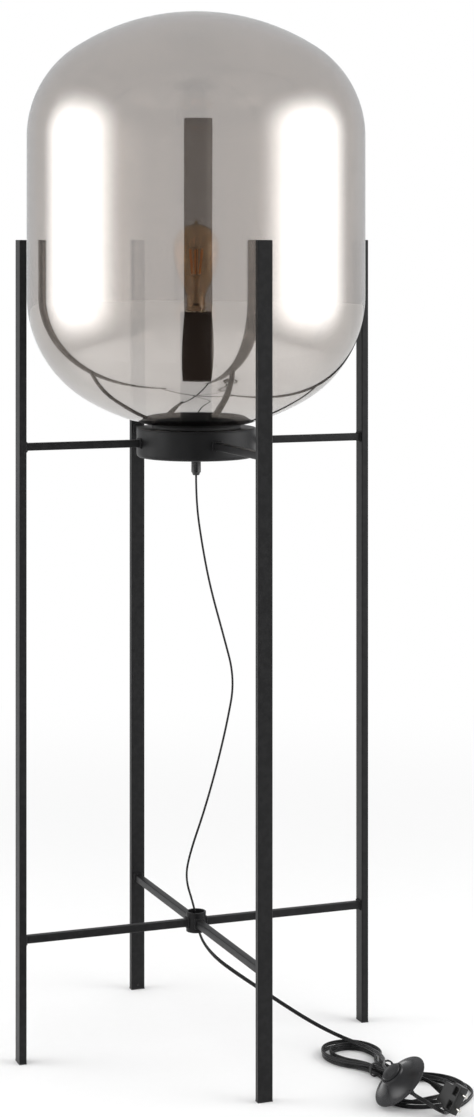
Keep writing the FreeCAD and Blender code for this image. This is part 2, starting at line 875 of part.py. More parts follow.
def filaments():
    """Straight light-giving rods that lean out in a ring, and the wires that hold both ends."""
    rods, wires = [], []
    for i in range(filament_count):
        way = Vector(1, 0, 0)
        way = Rotation(UP, 360 * i / filament_count).multVec(way)
        low = way * 6 + UP * float(filament_bottom)
        high = way * 9.5 + UP * float(filament_top)
        rods.append(Part.makeCylinder(0.9, (high - low).Length, low, high - low))
        top = way * 1.35 + UP * (float(filament_top) + 0.5)
        wires.append(Part.makeCylinder(0.3, 8.4, top, way))
        foot = way * 2.6 + UP * (float(filament_bottom) - 0.5)
        wires.append(Part.makeCylinder(0.3, 3.9, foot, way))
    for name, solids in (("bulb_filaments", rods), ("bulb_supports", wires)):
        made = doc.addObject("Part::Feature", name)
        made.Shape = Part.makeCompound(solids)
        kept(placed(made), name)


# ------------------------------------------------------------------ cord

def from_hang(x, y, z):
    """A point of the hanging cord: x across the plane it hangs in, y behind that plane."""
    return Rotation(UP, float(hang_turn)).multVec(Vector(x, y, z))


def from_waist(u, v, z):
    """A point near the hank: u along its long way, v across it, from the middle of its waist."""
    turned = Rotation(UP, float(waist_turn)).multVec(Vector(u, v, z))
    return turned + Vector(waist_x, waist_y, 0)


def rounded_path(name, points):
    """Straight runs joined by tangent arcs, each as large as its two runs allow."""
    edges, radii, last = [], [], points[0]
    for before, point, after in zip(points, points[1:], points[2:]):
        back, on = before - point, after - point
        half_turn = (math.pi - back.getAngle(on)) / 2
        trim = 0.45 * min(back.Length, on.Length)
        radii.append(trim / math.tan(half_turn))
        start = point + back.normalize() * trim
        end = point + on.normalize() * trim
        bow = (start + end) / 2 - point
        reach = trim / math.cos(half_turn) * (1 / math.sin(math.pi / 2 - half_turn))
        centre = point + bow.normalize() * (trim / math.sin(half_turn))
        middle = centre - bow.normalize() * (radii[-1])
        edges.append(Part.LineSegment(last, start).toShape())
        edges.append(Part.Arc(start, middle, end).toShape())
        last = end
    edges.append(Part.LineSegment(last, points[-1]).toShape())
    print("%s: smallest bend radius %.1f mm" % (name, min(radii)))
    return Part.Wire(edges)


def swept(name, path, radius):
    """A round tube along a path, its volume set against its section times its length."""
    start = path.Edges[0]
    circle = Part.Circle(start.valueAt(0), start.tangentAt(0), float(radius))
    shell = Part.BRepOffsetAPI.MakePipeShell(path)
    shell.add(Part.Wire([circle.toShape()]))
    shell.build()
    shell.makeSolid()
    solid = shell.shape()
    due = math.pi * float(radius) ** 2 * path.Length
    share = solid.Volume / due
    print("%s: length %.0f mm, volume %.3f of its section times its length" % (
        name, path.Length, share))
    if abs(share - 1) > 0.02:
        raise ValueError("the tube of %s has the wrong volume" % name)
    made = doc.addObject("Part::Feature", name)
    made.Shape = solid
    return kept(placed(made), name)


def cord_drop():
    """From the grip down through the hub, out to the floor, and over the hank to the switch."""
    hanging = [
        (0, 0, grip_bottom), (0, 0, 733), (8, 1, 676), (19, 3, 618), (36, 4, 556),
        (53, 3, 492), (42, 0, 432), (28, -4, 374), (11, -6, 314), (-8, -4, 258),
        (-15, -1, 222), (-3, 0, 184), (1, 0, 160), (8, -1, 136), (26, -2, 114),
        (52, -3, 95), (84, -4, 74), (118, -6, 52), (148, -13, 35), (176, -25, 23),
    ]
    over_hank = [
        (-101, 15, 14.5), (-74, 21, 14.5), (-45, 18, 16), (-18, 11, 19.5), (8, 0, 22.5),
        (30, -17, 26), (48.47, -28.92, 29.36), (65.02, -32.8, 29.36),
    ]
    points = [from_hang(*p) for p in hanging] + [from_waist(*p) for p in over_hank]
    swept("cord_drop", rounded_path("cord_drop", points), cord_radius)


def cord_to_hank():
    """From the switch's front bush, round and down to the outermost turn of the hank."""
    points = [
        (144.85, -51.53, 29.36), (156.05, -54.16, 29.36), (167, -50, 26.6),
        (172.3, -41.8, 20.8), (173, -31.8, 13.8), (169.8, -21.8, 8), (163.5, -12.8, 4.2),
        (157.5, -4, 2.7), (153.39, 5.48, 2.6),
        HANK_START,
    ]
    points = [from_waist(*p) for p in points]
    swept("cord_to_hank", rounded_path("cord_to_hank", points), cord_radius)


def cord_to_plug():
    """From the last turn of the hank, rising over the waist to the back of the plug."""
    points = [
        (-78, -33.5, 8.2), (-58, -33.5, 8.2), (-36, -23.5, 9.6), (-14, -13.5, 11.8),
        (6, -11.5, 14), (26, -11.5, 16.5), (48, -10, 18), (70, -10, 21), (94, -14.5, 28),
        (119.3, -15.86, 34.15), (138.9, -13.7, 30.85),
    ]
    points = [from_waist(*p) for p in points]
    swept("cord_to_plug", rounded_path("cord_to_plug", points), cord_radius)


# ------------------------------------------------------------------ hank

HANK_START = (149, 16, 2.6)
HANK_TURNS = 3.625
HANK_CLIMB = 1.75
HANK_END = 3.375


def hank_stations():
    """Places and headings round the hank: two turns spiral in, then two on top spiral out.

    Each turn passes the right lobe's far side, the waist, the left lobe's far side, its end and
    its near side, the waist again, and the right lobe's near side and end. How deep a turn lies
    in the spiral draws it in at each station by that station's own step.
    """
    stations = [(Vector(*HANK_START), Vector(-0.385, 0.923, 0).normalize())]
    forth, back = Vector(1, 0, 0), Vector(-1, 0, 0)
    away, near = Vector(0, 1, 0), Vector(0, -1, 0)
    waist, step = float(waist_half), float(waist_step)
    round_trip = (
        (0, lambda d: (92, 68 - 13.5 * d), back, 0),
        (0.125, lambda d: (0, waist - step * d), back, 1),
        (0.25, lambda d: (-78, 44 - 10 * d), back, 0),
        (0.3125, lambda d: (-122 + 13 * d, 4), near, 0),
        (0.375, lambda d: (-78, -36 + 10 * d), forth, 0),
        (0.5, lambda d: (0, -waist + step * d), forth, 1),
        (0.6875, lambda d: (92, -58 + 11 * d), forth, 0),
        (0.8125, lambda d: (148 - 15 * d, 5), away, 0),
    )
    for turn in range(4):
        for share, place, heading, lifted in round_trip:
            count = turn + share
            if count > HANK_END:
                break
            depth = min(count, HANK_TURNS - count)
            height = hank_floor + lifted * hank_lift
            if count > HANK_CLIMB:
                height = height + hank_layer
            stations.append((Vector(*place(depth), height), heading))
    return stations


def arc_between(start, heading, end):
    """The arc that leaves start along heading and reaches end."""
    chord = end - start
    side = heading - chord * (heading.dot(chord) / chord.dot(chord))
    if side.Length < 1e-6:
        return Part.LineSegment(start, end).toShape()
    half = heading.getAngle(chord)
    rise = chord.Length / 2 * math.tan(half / 2)
    middle = (start + end) / 2 + side.normalize() * rise
    return Part.Arc(start, middle, end).toShape()


def biarc(start, heading, end, end_heading):
    """Two arcs that leave start along heading and reach end along its own heading."""
    gap = end - start
    both = heading + end_heading
    room = 2 * (1 - heading.dot(end_heading))
    if room < 1e-9:
        reach = gap.dot(gap) / (4 * gap.dot(heading))
    else:
        along = gap.dot(both)
        reach = (math.sqrt(along * along + room * gap.dot(gap)) - along) / room
    joint = (start + end + (heading - end_heading) * reach) / 2
    return [arc_between(start, heading, joint), arc_between(end, end_heading * -1, joint)]


def least_gap(edges, diameter):
    """Least distance between the surfaces of the tube's own turns, measured on points."""
    marks, travelled = [], 0
    for edge in edges:
        count = max(4, int(edge.Length / 2))
        points = edge.discretize(count + 1)
        if marks and (points[-1] - marks[-1][1]).Length < (points[0] - marks[-1][1]).Length:
            points = points[::-1]
        for i, point in enumerate(points[:-1]):
            marks.append((travelled + edge.Length * i / count, point))
        travelled += edge.Length
    least = 1e9
    for i, (here, point) in enumerate(marks):
        for there, other in marks[i + 1:]:
            if there - here > 4 * diameter:
                least = min(least, (other - point).Length)
    return least - diameter


def cord_hank():
    """The put-away length: one unbroken tube in two layers, drawn in at the waist."""
    stations = hank_stations()
    diameter = float(cord_diameter)
    first, heading = stations[0]
    edges = [Part.LineSegment(first, first + heading * diameter).toShape()]
    stations[0] = (first + heading * diameter, heading)
    last, ahead = stations[-1]
    stations[-1] = (last - ahead * diameter, ahead)
    for (start, out), (end, arriving) in zip(stations, stations[1:]):
        edges += biarc(start, out, end, arriving)
    edges.append(Part.LineSegment(last - ahead * diameter, last).toShape())
    radii = [edge.Curve.Radius for edge in edges if hasattr(edge.Curve, "Radius")]
    print("cord_hank: %d arcs, smallest radius %.1f mm, least gap to itself %.2f mm" % (
        len(radii), min(radii), least_gap(edges, diameter)))
    turn = Rotation(UP, float(waist_turn))
    path = Part.Wire(Part.__sortEdges__(edges))
    made = swept("cord_hank", path, cord_radius)
    placed(made, waist_x, waist_y, 0, turn)


def cord_tie():
    """A flat band round the waist of the hank."""
    half = waist_half + cord_radius + tie_slack
    low = hank_floor + hank_lift - cord_radius - tie_slack
    wide, high = 2 * half, tie_top - low
    middle = low + high / 2
    loops = [centred_loop(wide + 2 * tie_thick, high + 2 * tie_thick, middle)]
    loops.append(centred_loop(wide, high, middle))
    body = padded("cord_tie", "YZ_Plane", loops, tie_wide)
    turn = Rotation(UP, float(waist_turn))
    start = from_waist(-float(tie_wide) / 2, 0, 0)
    kept(placed(body, start.x, start.y, 0, turn), "cord_tie")


# ------------------------------------------------------------------ foot switch

def dome_radius(reach, rise):
    """Radius of a shallow dome that is level on the axis."""
    return (reach * reach + rise * rise) / (2 * rise)


def switch_pose():
    turn = Rotation(UP, float(waist_turn + switch_turn))
    tilt = Rotation(Vector(1, 0, 0), float(switch_tilt))
    place = from_waist(switch_along, switch_across, switch_height)
    return FreeCAD.Placement(place, turn.multiply(tilt))


def foot_switch():
    """A round pedal: cover, button with its plunger and spring, base, contacts and bushes."""
    pose = switch_pose()
    opening = button_radius + button_fit
    cover = [
        (base_radius + 3.5, -switch_rim),
        (switch_radius, -switch_rim),
        (switch_radius, -0.5),
        (switch_radius - 0.5, 0),
        (switch_radius - 1.5, 0.3),
        (collar_radius + 1.2, collar_top - 3.5),
        (collar_radius, collar_top - 1),
        (collar_radius - 1, collar_top),
        (opening, collar_top),
        (opening, collar_top - 5),
        (base_radius + 3.5, 0.1),
    ]
    arcs = {2: (0.5, 1), 4: (48, -1), 6: (1, 1), 9: (46, 1)}
    shell = revolved("cover_shell", cover, arcs)
    base = [
        (0, -base_depth),
        (base_radius, -base_depth),
        (switch_radius - 3, -switch_rim),
        (switch_radius - 5.5, -switch_rim),
        (base_radius - 1, base_wall - base_depth),
        (0, base_wall - base_depth),
    ]
    dish = revolved("base_dish", base)
    holes = []
    bushes = []
    for name, side in (("front", 1), ("back", -1)):
        along = Rotation(Vector(0, 1, 0), 90 * side)
        start = (side * bush_inner, 0, -bush_depth)
        hole = rod("bush_hole_" + name, bush_radius, start[2], bush_outer - bush_inner)
        placed(hole, *start, along)
        holes.append(hole)
        body = revolved("bush_" + name, [
            (0, 0),
            (bush_radius, 0),
            (bush_radius, bush_outer - bush_inner - 3),
            (bush_radius - 0.7, bush_outer - bush_inner),
            (0, bush_outer - bush_inner),
        ])
        placed(body, *start, along)
        bushes.append(body)
    screws, screw_holes = [], []
    for name, side in (("one", 1), ("two", -1)):
        for made, radius, extra in ((screws, 1.4, 0), (screw_holes, 1.4, 0.5)):
            part = rod("%s_%d" % (name, len(made)), size_of(radius), 0, 3)
            placed(part, 0, side * (base_radius - 6), -base_depth - extra)
            made.append(part)
    notches = []
    for name, side in (("front", 1), ("back", -1)):
        notch = doc.addObject("Part::Box", "rim_notch_" + name)
        notch.setExpression("Length", formula(bush_outer - notch_inner))
        notch.setExpression("Width", formula(2 * bush_radius + 2 * notch_fit))
        notch.setExpression("Height", formula(notch_top + bush_depth))
        start = notch_inner if side > 0 else -bush_outer
        placed(notch, start, -bush_radius - notch_fit, -bush_depth)
        notches.append(notch)
    cover_part = cut("switch_cover", shell, notches)
    base_part = cut("switch_base", dish, holes + screw_holes)

    roof = button_top - 2.2
    button = revolved("button_body", [
        (0, roof),
        (button_radius - 2, roof - 0.5),
        (button_radius - 2, button_skirt),
        (button_radius, button_skirt),
        (button_radius, button_top - button_dome - 1.4),
        (button_radius - 1.4, button_top - button_dome),
        (0, button_top),
    ], {5: (dome_radius(button_radius - 1.4, button_dome), 1)})
    plunger = revolved("button_plunger", *box_loop(0, plunger_bottom, plunger_radius, roof - 0.6))
    spring = spring_coil(base_wall - base_depth + 0.1, roof - 1.2)
    contacts = []
    for name, side in (("contact_live", 1), ("contact_neutral", -1)):
        strip = doc.addObject("Part::Box", name)
        strip.Length, strip.Width, strip.Height = 9, 5, 0.6
        placed(strip, side * 14 - 4.5, -2.5, base_wall - base_depth)
        contacts.append(strip)
    for name, members in (
        ("switch_cover", [cover_part]),
        ("switch_base", [base_part]),
        ("switch_button", [button]),
        ("switch_plunger", [plunger]),
        ("switch_spring", [spring]),
        ("switch_contacts", contacts),
        ("switch_screws", screws),
        ("switch_bushes", bushes),
    ):
        posed(name, members, pose)


def size_of(value):
    return Size(value, repr(float(value)))


def posed(name, members, pose):
    """Set finished solids at a pose of their own, as one sub-part."""
    made = members[0]
    if len(members) > 1 or made.TypeId != "Part::Cut":
        made = doc.addObject("Part::Compound", name + "_posed")
        made.Links = members
    made.Placement = pose
    kept(made, name)


def spring_coil(low, high):
    """An open helix of round wire, with its own number of turns."""
    wire = float(spring_wire)
    rise = float(high - low) - 2 * wire
    helix = Part.makeHelix(rise / spring_turns, rise, float(spring_radius))
    start = helix.Edges[0].valueAt(helix.Edges[0].FirstParameter)
    along = helix.Edges[0].tangentAt(helix.Edges[0].FirstParameter)
    section = Part.Wire([Part.Circle(start, along, wire).toShape()])
    made = doc.addObject("Part::Feature", "spring_helix")
    made.Shape = Part.Wire(helix.Edges).makePipeShell([section], True, True)
    return placed(made, 0, 0, low + wire)


# ------------------------------------------------------------------ plug

def plug():
    """A moulded plug: strain relief, waist, wide front block with two windows, two round pins."""
    pose = FreeCAD.Placement(
        from_waist(plug_along, plug_across, plug_height),
        Rotation(UP, float(waist_turn + plug_turn))
        .multiply(Rotation(Vector(0, 1, 0), float(plug_dip)))
        .multiply(Rotation(Vector(1, 0, 0), float(plug_roll))),
    )
    half_block, half_body = plug_block_wide / 2, plug_body_wide / 2
    shape = [
        (plug_relief, -half_body + 2),
        (plug_relief + 2, -half_body),
        (plug_shoulder, -half_body),
        (plug_shoulder, -half_block),
        (plug_front, -half_block),
        (plug_front, half_block),
        (plug_shoulder, half_block),
        (plug_shoulder, half_body),
        (plug_relief + 2, half_body),
        (plug_relief, half_body - 2),
    ]
    block = padded("plug_block", "XY_Plane", [(shape, {})], plug_thick)

    def outer(edge):
        return upright(edge) and edge.Vertexes[0].X > plug_shoulder - 0.1 and (
            abs(edge.Vertexes[0].Y) > half_block - 0.1
        )

    rounded(block, plug_rounding, outer)
    placed(block, 0, 0, -plug_thick / 2)
    relief = doc.addObject("Part::Cone", "plug_strain_relief")
    relief.setExpression("Radius1", formula(cord_radius + 0.9))
    relief.setExpression("Radius2", formula(plug_thick / 2 - 1))
    relief.setExpression("Height", formula(plug_relief + 1))
    placed(relief, 0, 0, 0, Rotation(Vector(0, 1, 0), 90))
    moulded = doc.addObject("Part::Fuse", "plug_moulding")
    moulded.Base, moulded.Tool = block, relief
    tools, pins = [], []
    for name, side in (("upper", 1), ("lower", -1)):
        across = side * pin_spacing / 2
        window = doc.addObject("Part::Box", "window_" + name)
        window.setExpression("Length", formula(window_front - window_back))
        window.setExpression("Width", formula(window_wide))
        window.setExpression("Height", formula(plug_thick + 2))
        placed(window, window_back, across - window_wide / 2, -plug_thick / 2 - 1)
        pin = revolved("pin_" + name, [
            (0, plug_shoulder),
            (pin_radius, plug_shoulder),
            (pin_radius, pin_tip - 1.2),
            (pin_radius - 1.2, pin_tip),
            (0, pin_tip),
        ], {2: (1.2, 1)})
        placed(pin, 0, across, 0, Rotation(Vector(0, 1, 0), 90))
        bore = rod("pin_bore_" + name, pin_radius, 0, pin_tip - plug_shoulder)
        placed(bore, plug_shoulder, across, 0, Rotation(Vector(0, 1, 0), 90))
        tools += [window, bore]
        pins.append(pin)
    posed("plug_body", [cut("plug_body", moulded, tools)], pose)
    posed("plug_pins", pins, pose)


# ------------------------------------------------------------------ build, check and write

def check():
    doc.recompute()
    for thing in doc.Objects:
        if "Invalid" in thing.State or "Error" in thing.State:
            raise RuntimeError("%s failed: %s" % (thing.Name, thing.State))
    for thing in pieces:
        if thing.Shape.isNull() or not thing.Shape.isValid() or thing.Shape.Volume <= 0:
            raise RuntimeError("%s has no valid solid" % thing.Label)


frame()
drum()
glass()
column()
holder()
bulb()
cord_drop()
cord_to_hank()
cord_hank()
cord_to_plug()
cord_tie()
foot_switch()
plug()
check()
for thing in pieces:
    thing.Shape.exportStep("parts/%s.step" % thing.Label)
print("%d sub-parts written" % len(pieces))
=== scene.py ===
import json
import math

import bmesh
import bpy
from mathutils import Matrix, Vector


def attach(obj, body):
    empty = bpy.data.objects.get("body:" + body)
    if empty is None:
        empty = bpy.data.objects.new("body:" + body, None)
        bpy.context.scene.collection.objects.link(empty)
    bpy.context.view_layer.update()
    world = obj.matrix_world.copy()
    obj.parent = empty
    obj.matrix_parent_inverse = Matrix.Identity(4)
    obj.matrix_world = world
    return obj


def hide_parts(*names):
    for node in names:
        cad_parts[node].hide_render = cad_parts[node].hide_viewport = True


bl_info = {
    "name": "Globe floor lamp",
    "version": (1, 0, 0),
    "blender": (4, 5, 0),
    "location": "View3D > Sidebar > Lamp",
    "description": "Builds the visible pieces of a globe floor lamp and the room it stands in",
    "category": "Add Mesh",
}

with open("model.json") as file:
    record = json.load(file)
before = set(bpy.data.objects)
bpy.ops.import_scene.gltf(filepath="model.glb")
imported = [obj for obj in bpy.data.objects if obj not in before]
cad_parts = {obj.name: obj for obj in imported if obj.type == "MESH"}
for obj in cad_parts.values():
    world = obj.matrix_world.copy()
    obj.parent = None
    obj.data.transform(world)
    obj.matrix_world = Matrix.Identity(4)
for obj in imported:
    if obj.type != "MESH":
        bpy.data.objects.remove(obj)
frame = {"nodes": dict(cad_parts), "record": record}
UP = Vector((0, 0, 1))
MM = 0.001
FILAMENTS = 6
CORD_STEP = 0.0025

# The camera and the upright plane of the drop cord are turned by this many degrees, which gives
# the level direction away from the camera.
VIEW_TURN = -20.5
AWAY_FROM_VIEW = Vector((0.350, 0.937, 0))

# The waist of the tied cord: its turn in degrees, and its place on the floor in millimetres.
WAIST_TURN = -80.5
WAIST_PLACE = Vector((179.5, -211.2, 0))

finishes = {}
group_trees = {}


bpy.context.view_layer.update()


# ------------------------------------------------------------------ sizes and colours

def length(name, default, description):
    return bpy.props.FloatProperty(
        name=name, default=default, description=description, subtype="DISTANCE", unit="LENGTH",
        precision=4,
    )


def angle(name, default, description):
    return bpy.props.FloatProperty(
        name=name, default=math.radians(default), description=description, subtype="ANGLE",
    )


def colour(name, default, description):
    return bpy.props.FloatVectorProperty(
        name=name, default=default, description=description, subtype="COLOR", size=3,
        min=0.0, max=1.0,
    )


def amount(name, default, description):
    return bpy.props.FloatProperty(name=name, default=default, description=description)


class LampSizes(bpy.types.PropertyGroup):
    """Sizes and colours of the lamp."""

    glass_radius: length("Glass radius", 0.230, "Widest radius of the globe")
    glass_top: length("Glass top", 1.400, "Height of the globe's crown")
    glass_pole: length("Glass bowl", 0.832, "Height where the bowl would meet the axis")
    glass_upper_corner: length("Upper corner", 0.145, "Radius between crown and side")
    glass_lower_corner: length("Lower corner", 0.165, "Radius between side and bowl")
    glass_side_top: length("Side top", 1.230, "Height where the upright side ends above")
    glass_side_bottom: length("Side bottom", 1.015, "Height where the upright side starts")
    glass_wall: length("Glass wall", 0.0032, "Thickness of the glass")
    neck_radius: length("Neck radius", 0.0595, "Outer radius of the open neck")
    neck_bore: length("Neck bore", 0.056, "Inner radius of the open neck")
    drum_radius: length("Drum radius", 0.081, "Radius of the drum under the globe")
    drum_bottom: length("Drum bottom", 0.795, "Height of the drum's underside")
    drum_top: length("Drum top", 0.835, "Height of the drum's upper face")
    sleeve_radius: length("Sleeve radius", 0.0215, "Radius of the sleeve under the bulb")
    sleeve_top: length("Sleeve top", 0.992, "Height of the sleeve's mouth")
    leg_centre: length("Leg distance", 0.2474, "From the axis to the middle of a leg")
    leg_deep: length("Leg depth", 0.010, "Depth of a leg towards the axis")
    bar_side: length("Bar side", 0.010, "Side of the square crossbars")
    bar_corner: length("Bar corner", 0.0012, "Rounding of the crossbars' edges")
    upper_bar: length("Upper bars", 0.8156, "Height of the upper crossbars")
    lower_bar: length("Lower bars", 0.1625, "Height of the lower crossbars")
    hub_radius: length("Hub radius", 0.0135, "Outer radius of the hub")
    hub_bore: length("Hub bore", 0.011, "Inner radius of the hub")
    hub_bottom: length("Hub bottom", 0.150, "Height of the hub's lower rim")
    hub_top: length("Hub top", 0.177, "Height of the hub's upper rim")
    bead: length("Weld bead", 0.0021, "Size of one ripple in a weld")
    bead_step: length("Weld ripple", 0.0011, "Distance from ripple to ripple")
    cord_wide: length("Cord width", 0.0052, "Width of the flat twin cord")
    cord_thick: length("Cord thickness", 0.0028, "Thickness of the flat twin cord")
    drop_length: length("Drop cord", 1.072, "Length from the cord grip to the foot switch")
    lead_length: length("Lead", 2.568, "Length from the foot switch to the plug")
    switch_radius: length("Switch radius", 0.039, "Radius of the foot switch's rim")
    switch_tilt: angle("Switch tilt", 42.0, "How far the foot switch leans back")
    plug_roll: angle("Plug roll", 62.0, "How far the plug is rolled on its side")
    powder: colour("Powder coat", (0.008, 0.008, 0.0085), "Colour of the coated steel")
    cord_colour: colour("Cord colour", (0.006, 0.006, 0.0065), "Colour of the cord")
    glass_tint: colour("Glass tint", (0.735, 0.705, 0.68), "Tint of the mirrored glass")
    amber: colour("Amber", (1.0, 0.84, 0.66), "Tint of the bulb")
    panel_light: amount("Panel light", 4.2, "Brightness of the two soft light panels")
    room_light: amount("Room light", 0.62, "Brightness of the room as the globe mirrors it")


def sizes():
    return bpy.context.scene.lamp_sizes


# ------------------------------------------------------------------ mesh building

class Shape:
    """Points and faces of one piece, in metres."""

    def __init__(self):
        self.points, self.faces, self.kinds = [], [], []

    def rows(self, rings, kind=0):
        """Join rings of points in turn. A ring of one point is a pole."""
        starts = []
        for ring in rings:
            starts.append((len(self.points), len(ring)))
            self.points += [Vector(point) for point in ring]
        for (low, lows), (high, highs) in zip(starts, starts[1:]):
            count = max(lows, highs)
            for j in range(count):
                k = (j + 1) % count
                if lows == 1:
                    face = (low, high + k, high + j)
                elif highs == 1:
                    face = (low + j, low + k, high)
                else:
                    face = (low + j, low + k, high + k, high + j)
                self.faces.append(face)
                self.kinds.append(kind)

    def lathe(self, outline, steps=96, closed=False, kind=0, pose=None):
        """Turn an outline of (radius, height) about the upright axis, then set it at a pose."""
        rings = []
        for radius, height in outline + (outline[:1] if closed else []):
            count = steps if radius > 1e-7 else 1
            turns = [math.tau * j / count for j in range(count)]
            ring = [Vector((radius * math.cos(a), radius * math.sin(a), height)) for a in turns]
            rings.append([pose @ point for point in ring] if pose else ring)
        self.rows(rings, kind)

    def slab(self, across, along, kept, low, high, kind=0, pose=None):
        """A flat block made of the kept cells of a grid, with walls where cells are left out."""
        def corner(i, j, height):
            point = Vector((across[i], along[j], height))
            return pose @ point if pose else point

        cells = {(i, j) for i in range(len(across) - 1) for j in range(len(along) - 1)
                 if kept((across[i] + across[i + 1]) / 2, (along[j] + along[j + 1]) / 2)}
        for i, j in cells:
            square = [(i, j), (i + 1, j), (i + 1, j + 1), (i, j + 1)]
            self.face([corner(a, b, high) for a, b in square], kind)
            self.face([corner(a, b, low) for a, b in reversed(square)], kind)
            beside = [(i, j - 1), (i + 1, j), (i, j + 1), (i - 1, j)]
            for side in range(4):
                if beside[side] in cells:
                    continue
                (a, b), (c, d) = square[side], square[(side + 1) % 4]
                self.face([corner(a, b, low), corner(c, d, low),
                           corner(c, d, high), corner(a, b, high)], kind)

    def face(self, points, kind=0):
        start = len(self.points)
        self.points += [Vector(point) for point in points]
        self.faces.append(tuple(range(start, start + len(points))))
        self.kinds.append(kind)


def bow(start, end, radius, steps=12):
    """Points of an arc from start to end. It bows to the right for a positive radius."""
    (x0, y0), (x1, y1) = start, end
    reach = math.hypot(x1 - x0, y1 - y0)
    rise = math.copysign(math.sqrt(max(0.0, radius * radius - reach * reach / 4)), radius)
    middle_x = (x0 + x1) / 2 - (y1 - y0) / reach * rise
    middle_y = (y0 + y1) / 2 + (x1 - x0) / reach * rise
    first = math.atan2(y0 - middle_y, x0 - middle_x)
    turn = math.atan2(y1 - middle_y, x1 - middle_x) - first
    turn = (turn + math.pi) % math.tau - math.pi
    size = abs(radius)
    return [(middle_x + size * math.cos(first + turn * k / steps),
             middle_y + size * math.sin(first + turn * k / steps)) for k in range(steps + 1)]


def softened(corners, steps=4):
    """An outline whose corners (x, y, rounding) are rounded off, open at both ends."""
    line = []
    for k, (x, y, rounding) in enumerate(corners):
        if not rounding or k in (0, len(corners) - 1):
            line.append((x, y))
            continue
        here = Vector((x, y))
        back = (Vector(corners[k - 1][:2]) - here).normalized() * rounding
        on = (Vector(corners[k + 1][:2]) - here).normalized() * rounding
        for s in range(steps + 1):
            t = s / steps
            point = here + back * (1 - t) ** 2 + on * t * t
            line.append((point.x, point.y))
    return line


def in_metres(line):
    return [(across * MM, up * MM) for across, up in line]


def finished(name, mesh, finishes, body, replaced, sharp=35.0):
    """Turn a mesh into a piece that rides on a body and stands for its construction parts."""
    work = bmesh.new()
    work.from_mesh(mesh)
    bmesh.ops.remove_doubles(work, verts=work.verts, dist=1e-6)
    bmesh.ops.recalc_face_normals(work, faces=work.faces)
    work.to_mesh(mesh)
    work.free()
    mesh.materials.clear()
    for finish in finishes:
        mesh.materials.append(finish)
    mesh.shade_smooth()
    mesh.set_sharp_from_angle(angle=math.radians(sharp))
    piece = bpy.data.objects.new(name, mesh)
    bpy.context.scene.collection.objects.link(piece)
    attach(piece, body)
    if replaced:
        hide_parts(*replaced)
    return piece


def piece(name, shape, finishes, body, slot, replaced, sharp=35.0):
    mesh = bpy.data.meshes.new(name)
    mesh.from_pydata(shape.points, [], shape.faces)
    mesh.polygons.foreach_set("material_index", shape.kinds)
    return finished(name, mesh, finishes, body, replaced, sharp)


def soften(mesh, bevel):
    """Round off every sharp edge."""
    work = bmesh.new()
    work.from_mesh(mesh)
    bmesh.ops.remove_doubles(work, verts=work.verts, dist=1e-6)
    bmesh.ops.recalc_face_normals(work, faces=work.faces)
    edges = [e for e in work.edges if len(e.link_faces) == 2 and e.calc_face_angle() > 0.5]
    bmesh.ops.bevel(work, geom=edges, offset=bevel, segments=3, profile=0.5, affect="EDGES",
                    clamp_overlap=True)
    work.to_mesh(mesh)
    work.free()


# ------------------------------------------------------------------ finishes

def add(tree, kind, inputs=None, **settings):
    """One node, its settings, and what its sockets hold or are joined to."""
    node = tree.nodes.new(kind)
    for key, value in settings.items():
        setattr(node, key, value)
    for key, value in (inputs or {}).items():
        socket = node.inputs[key]
        if isinstance(value, bpy.types.NodeSocket):
            tree.links.new(value, socket)
        else:
            socket.default_value = value
    return node


def new_group(name, takes, gives):
    tree = bpy.data.node_groups.new(name, "ShaderNodeTree")
    for label, kind, value in takes:
        socket = tree.interface.new_socket(label, in_out="INPUT", socket_type="NodeSocket" + kind)
        if value is not None:
            socket.default_value = value
    for label, kind in gives:
        tree.interface.new_socket(label, in_out="OUTPUT", socket_type="NodeSocket" + kind)
    start = tree.nodes.new("NodeGroupInput").outputs
    end = tree.nodes.new("NodeGroupOutput").inputs
    return tree, start, end


def math_node(tree, operation, first, second, clamp=False):
    return add(tree, "ShaderNodeMath", {0: first, 1: second}, operation=operation,
               use_clamp=clamp).outputs[0]


def grain_group():
    """Fine and coarse unevenness of a surface, as a shade and as a bumped normal."""
    tree, start, end = new_group(
        "Surface grain",
        [("Place", "Vector", None), ("Fineness", "Float", 900.0), ("Height", "Float", 0.1)],
        [("Shade", "Float"), ("Normal", "Vector")],
    )
    coarse_scale = math_node(tree, "MULTIPLY", start["Fineness"], 0.035)
    fine = add(tree, "ShaderNodeTexNoise", {
        "Vector": start["Place"], "Scale": start["Fineness"], "Detail": 2.0, "Roughness": 0.6})
    coarse = add(tree, "ShaderNodeTexNoise", {
        "Vector": start["Place"], "Scale": coarse_scale, "Detail": 4.0, "Roughness": 0.55})
    both = add(tree, "ShaderNodeMix", {
        "Factor": 0.65, "A": fine.outputs["Fac"], "B": coarse.outputs["Fac"]}, data_type="FLOAT")
    bump = add(tree, "ShaderNodeBump", {
        "Strength": start["Height"], "Distance": 0.0004, "Height": fine.outputs["Fac"]})
    tree.links.new(both.outputs["Result"], end["Shade"])
    tree.links.new(bump.outputs["Normal"], end["Normal"])
    return tree


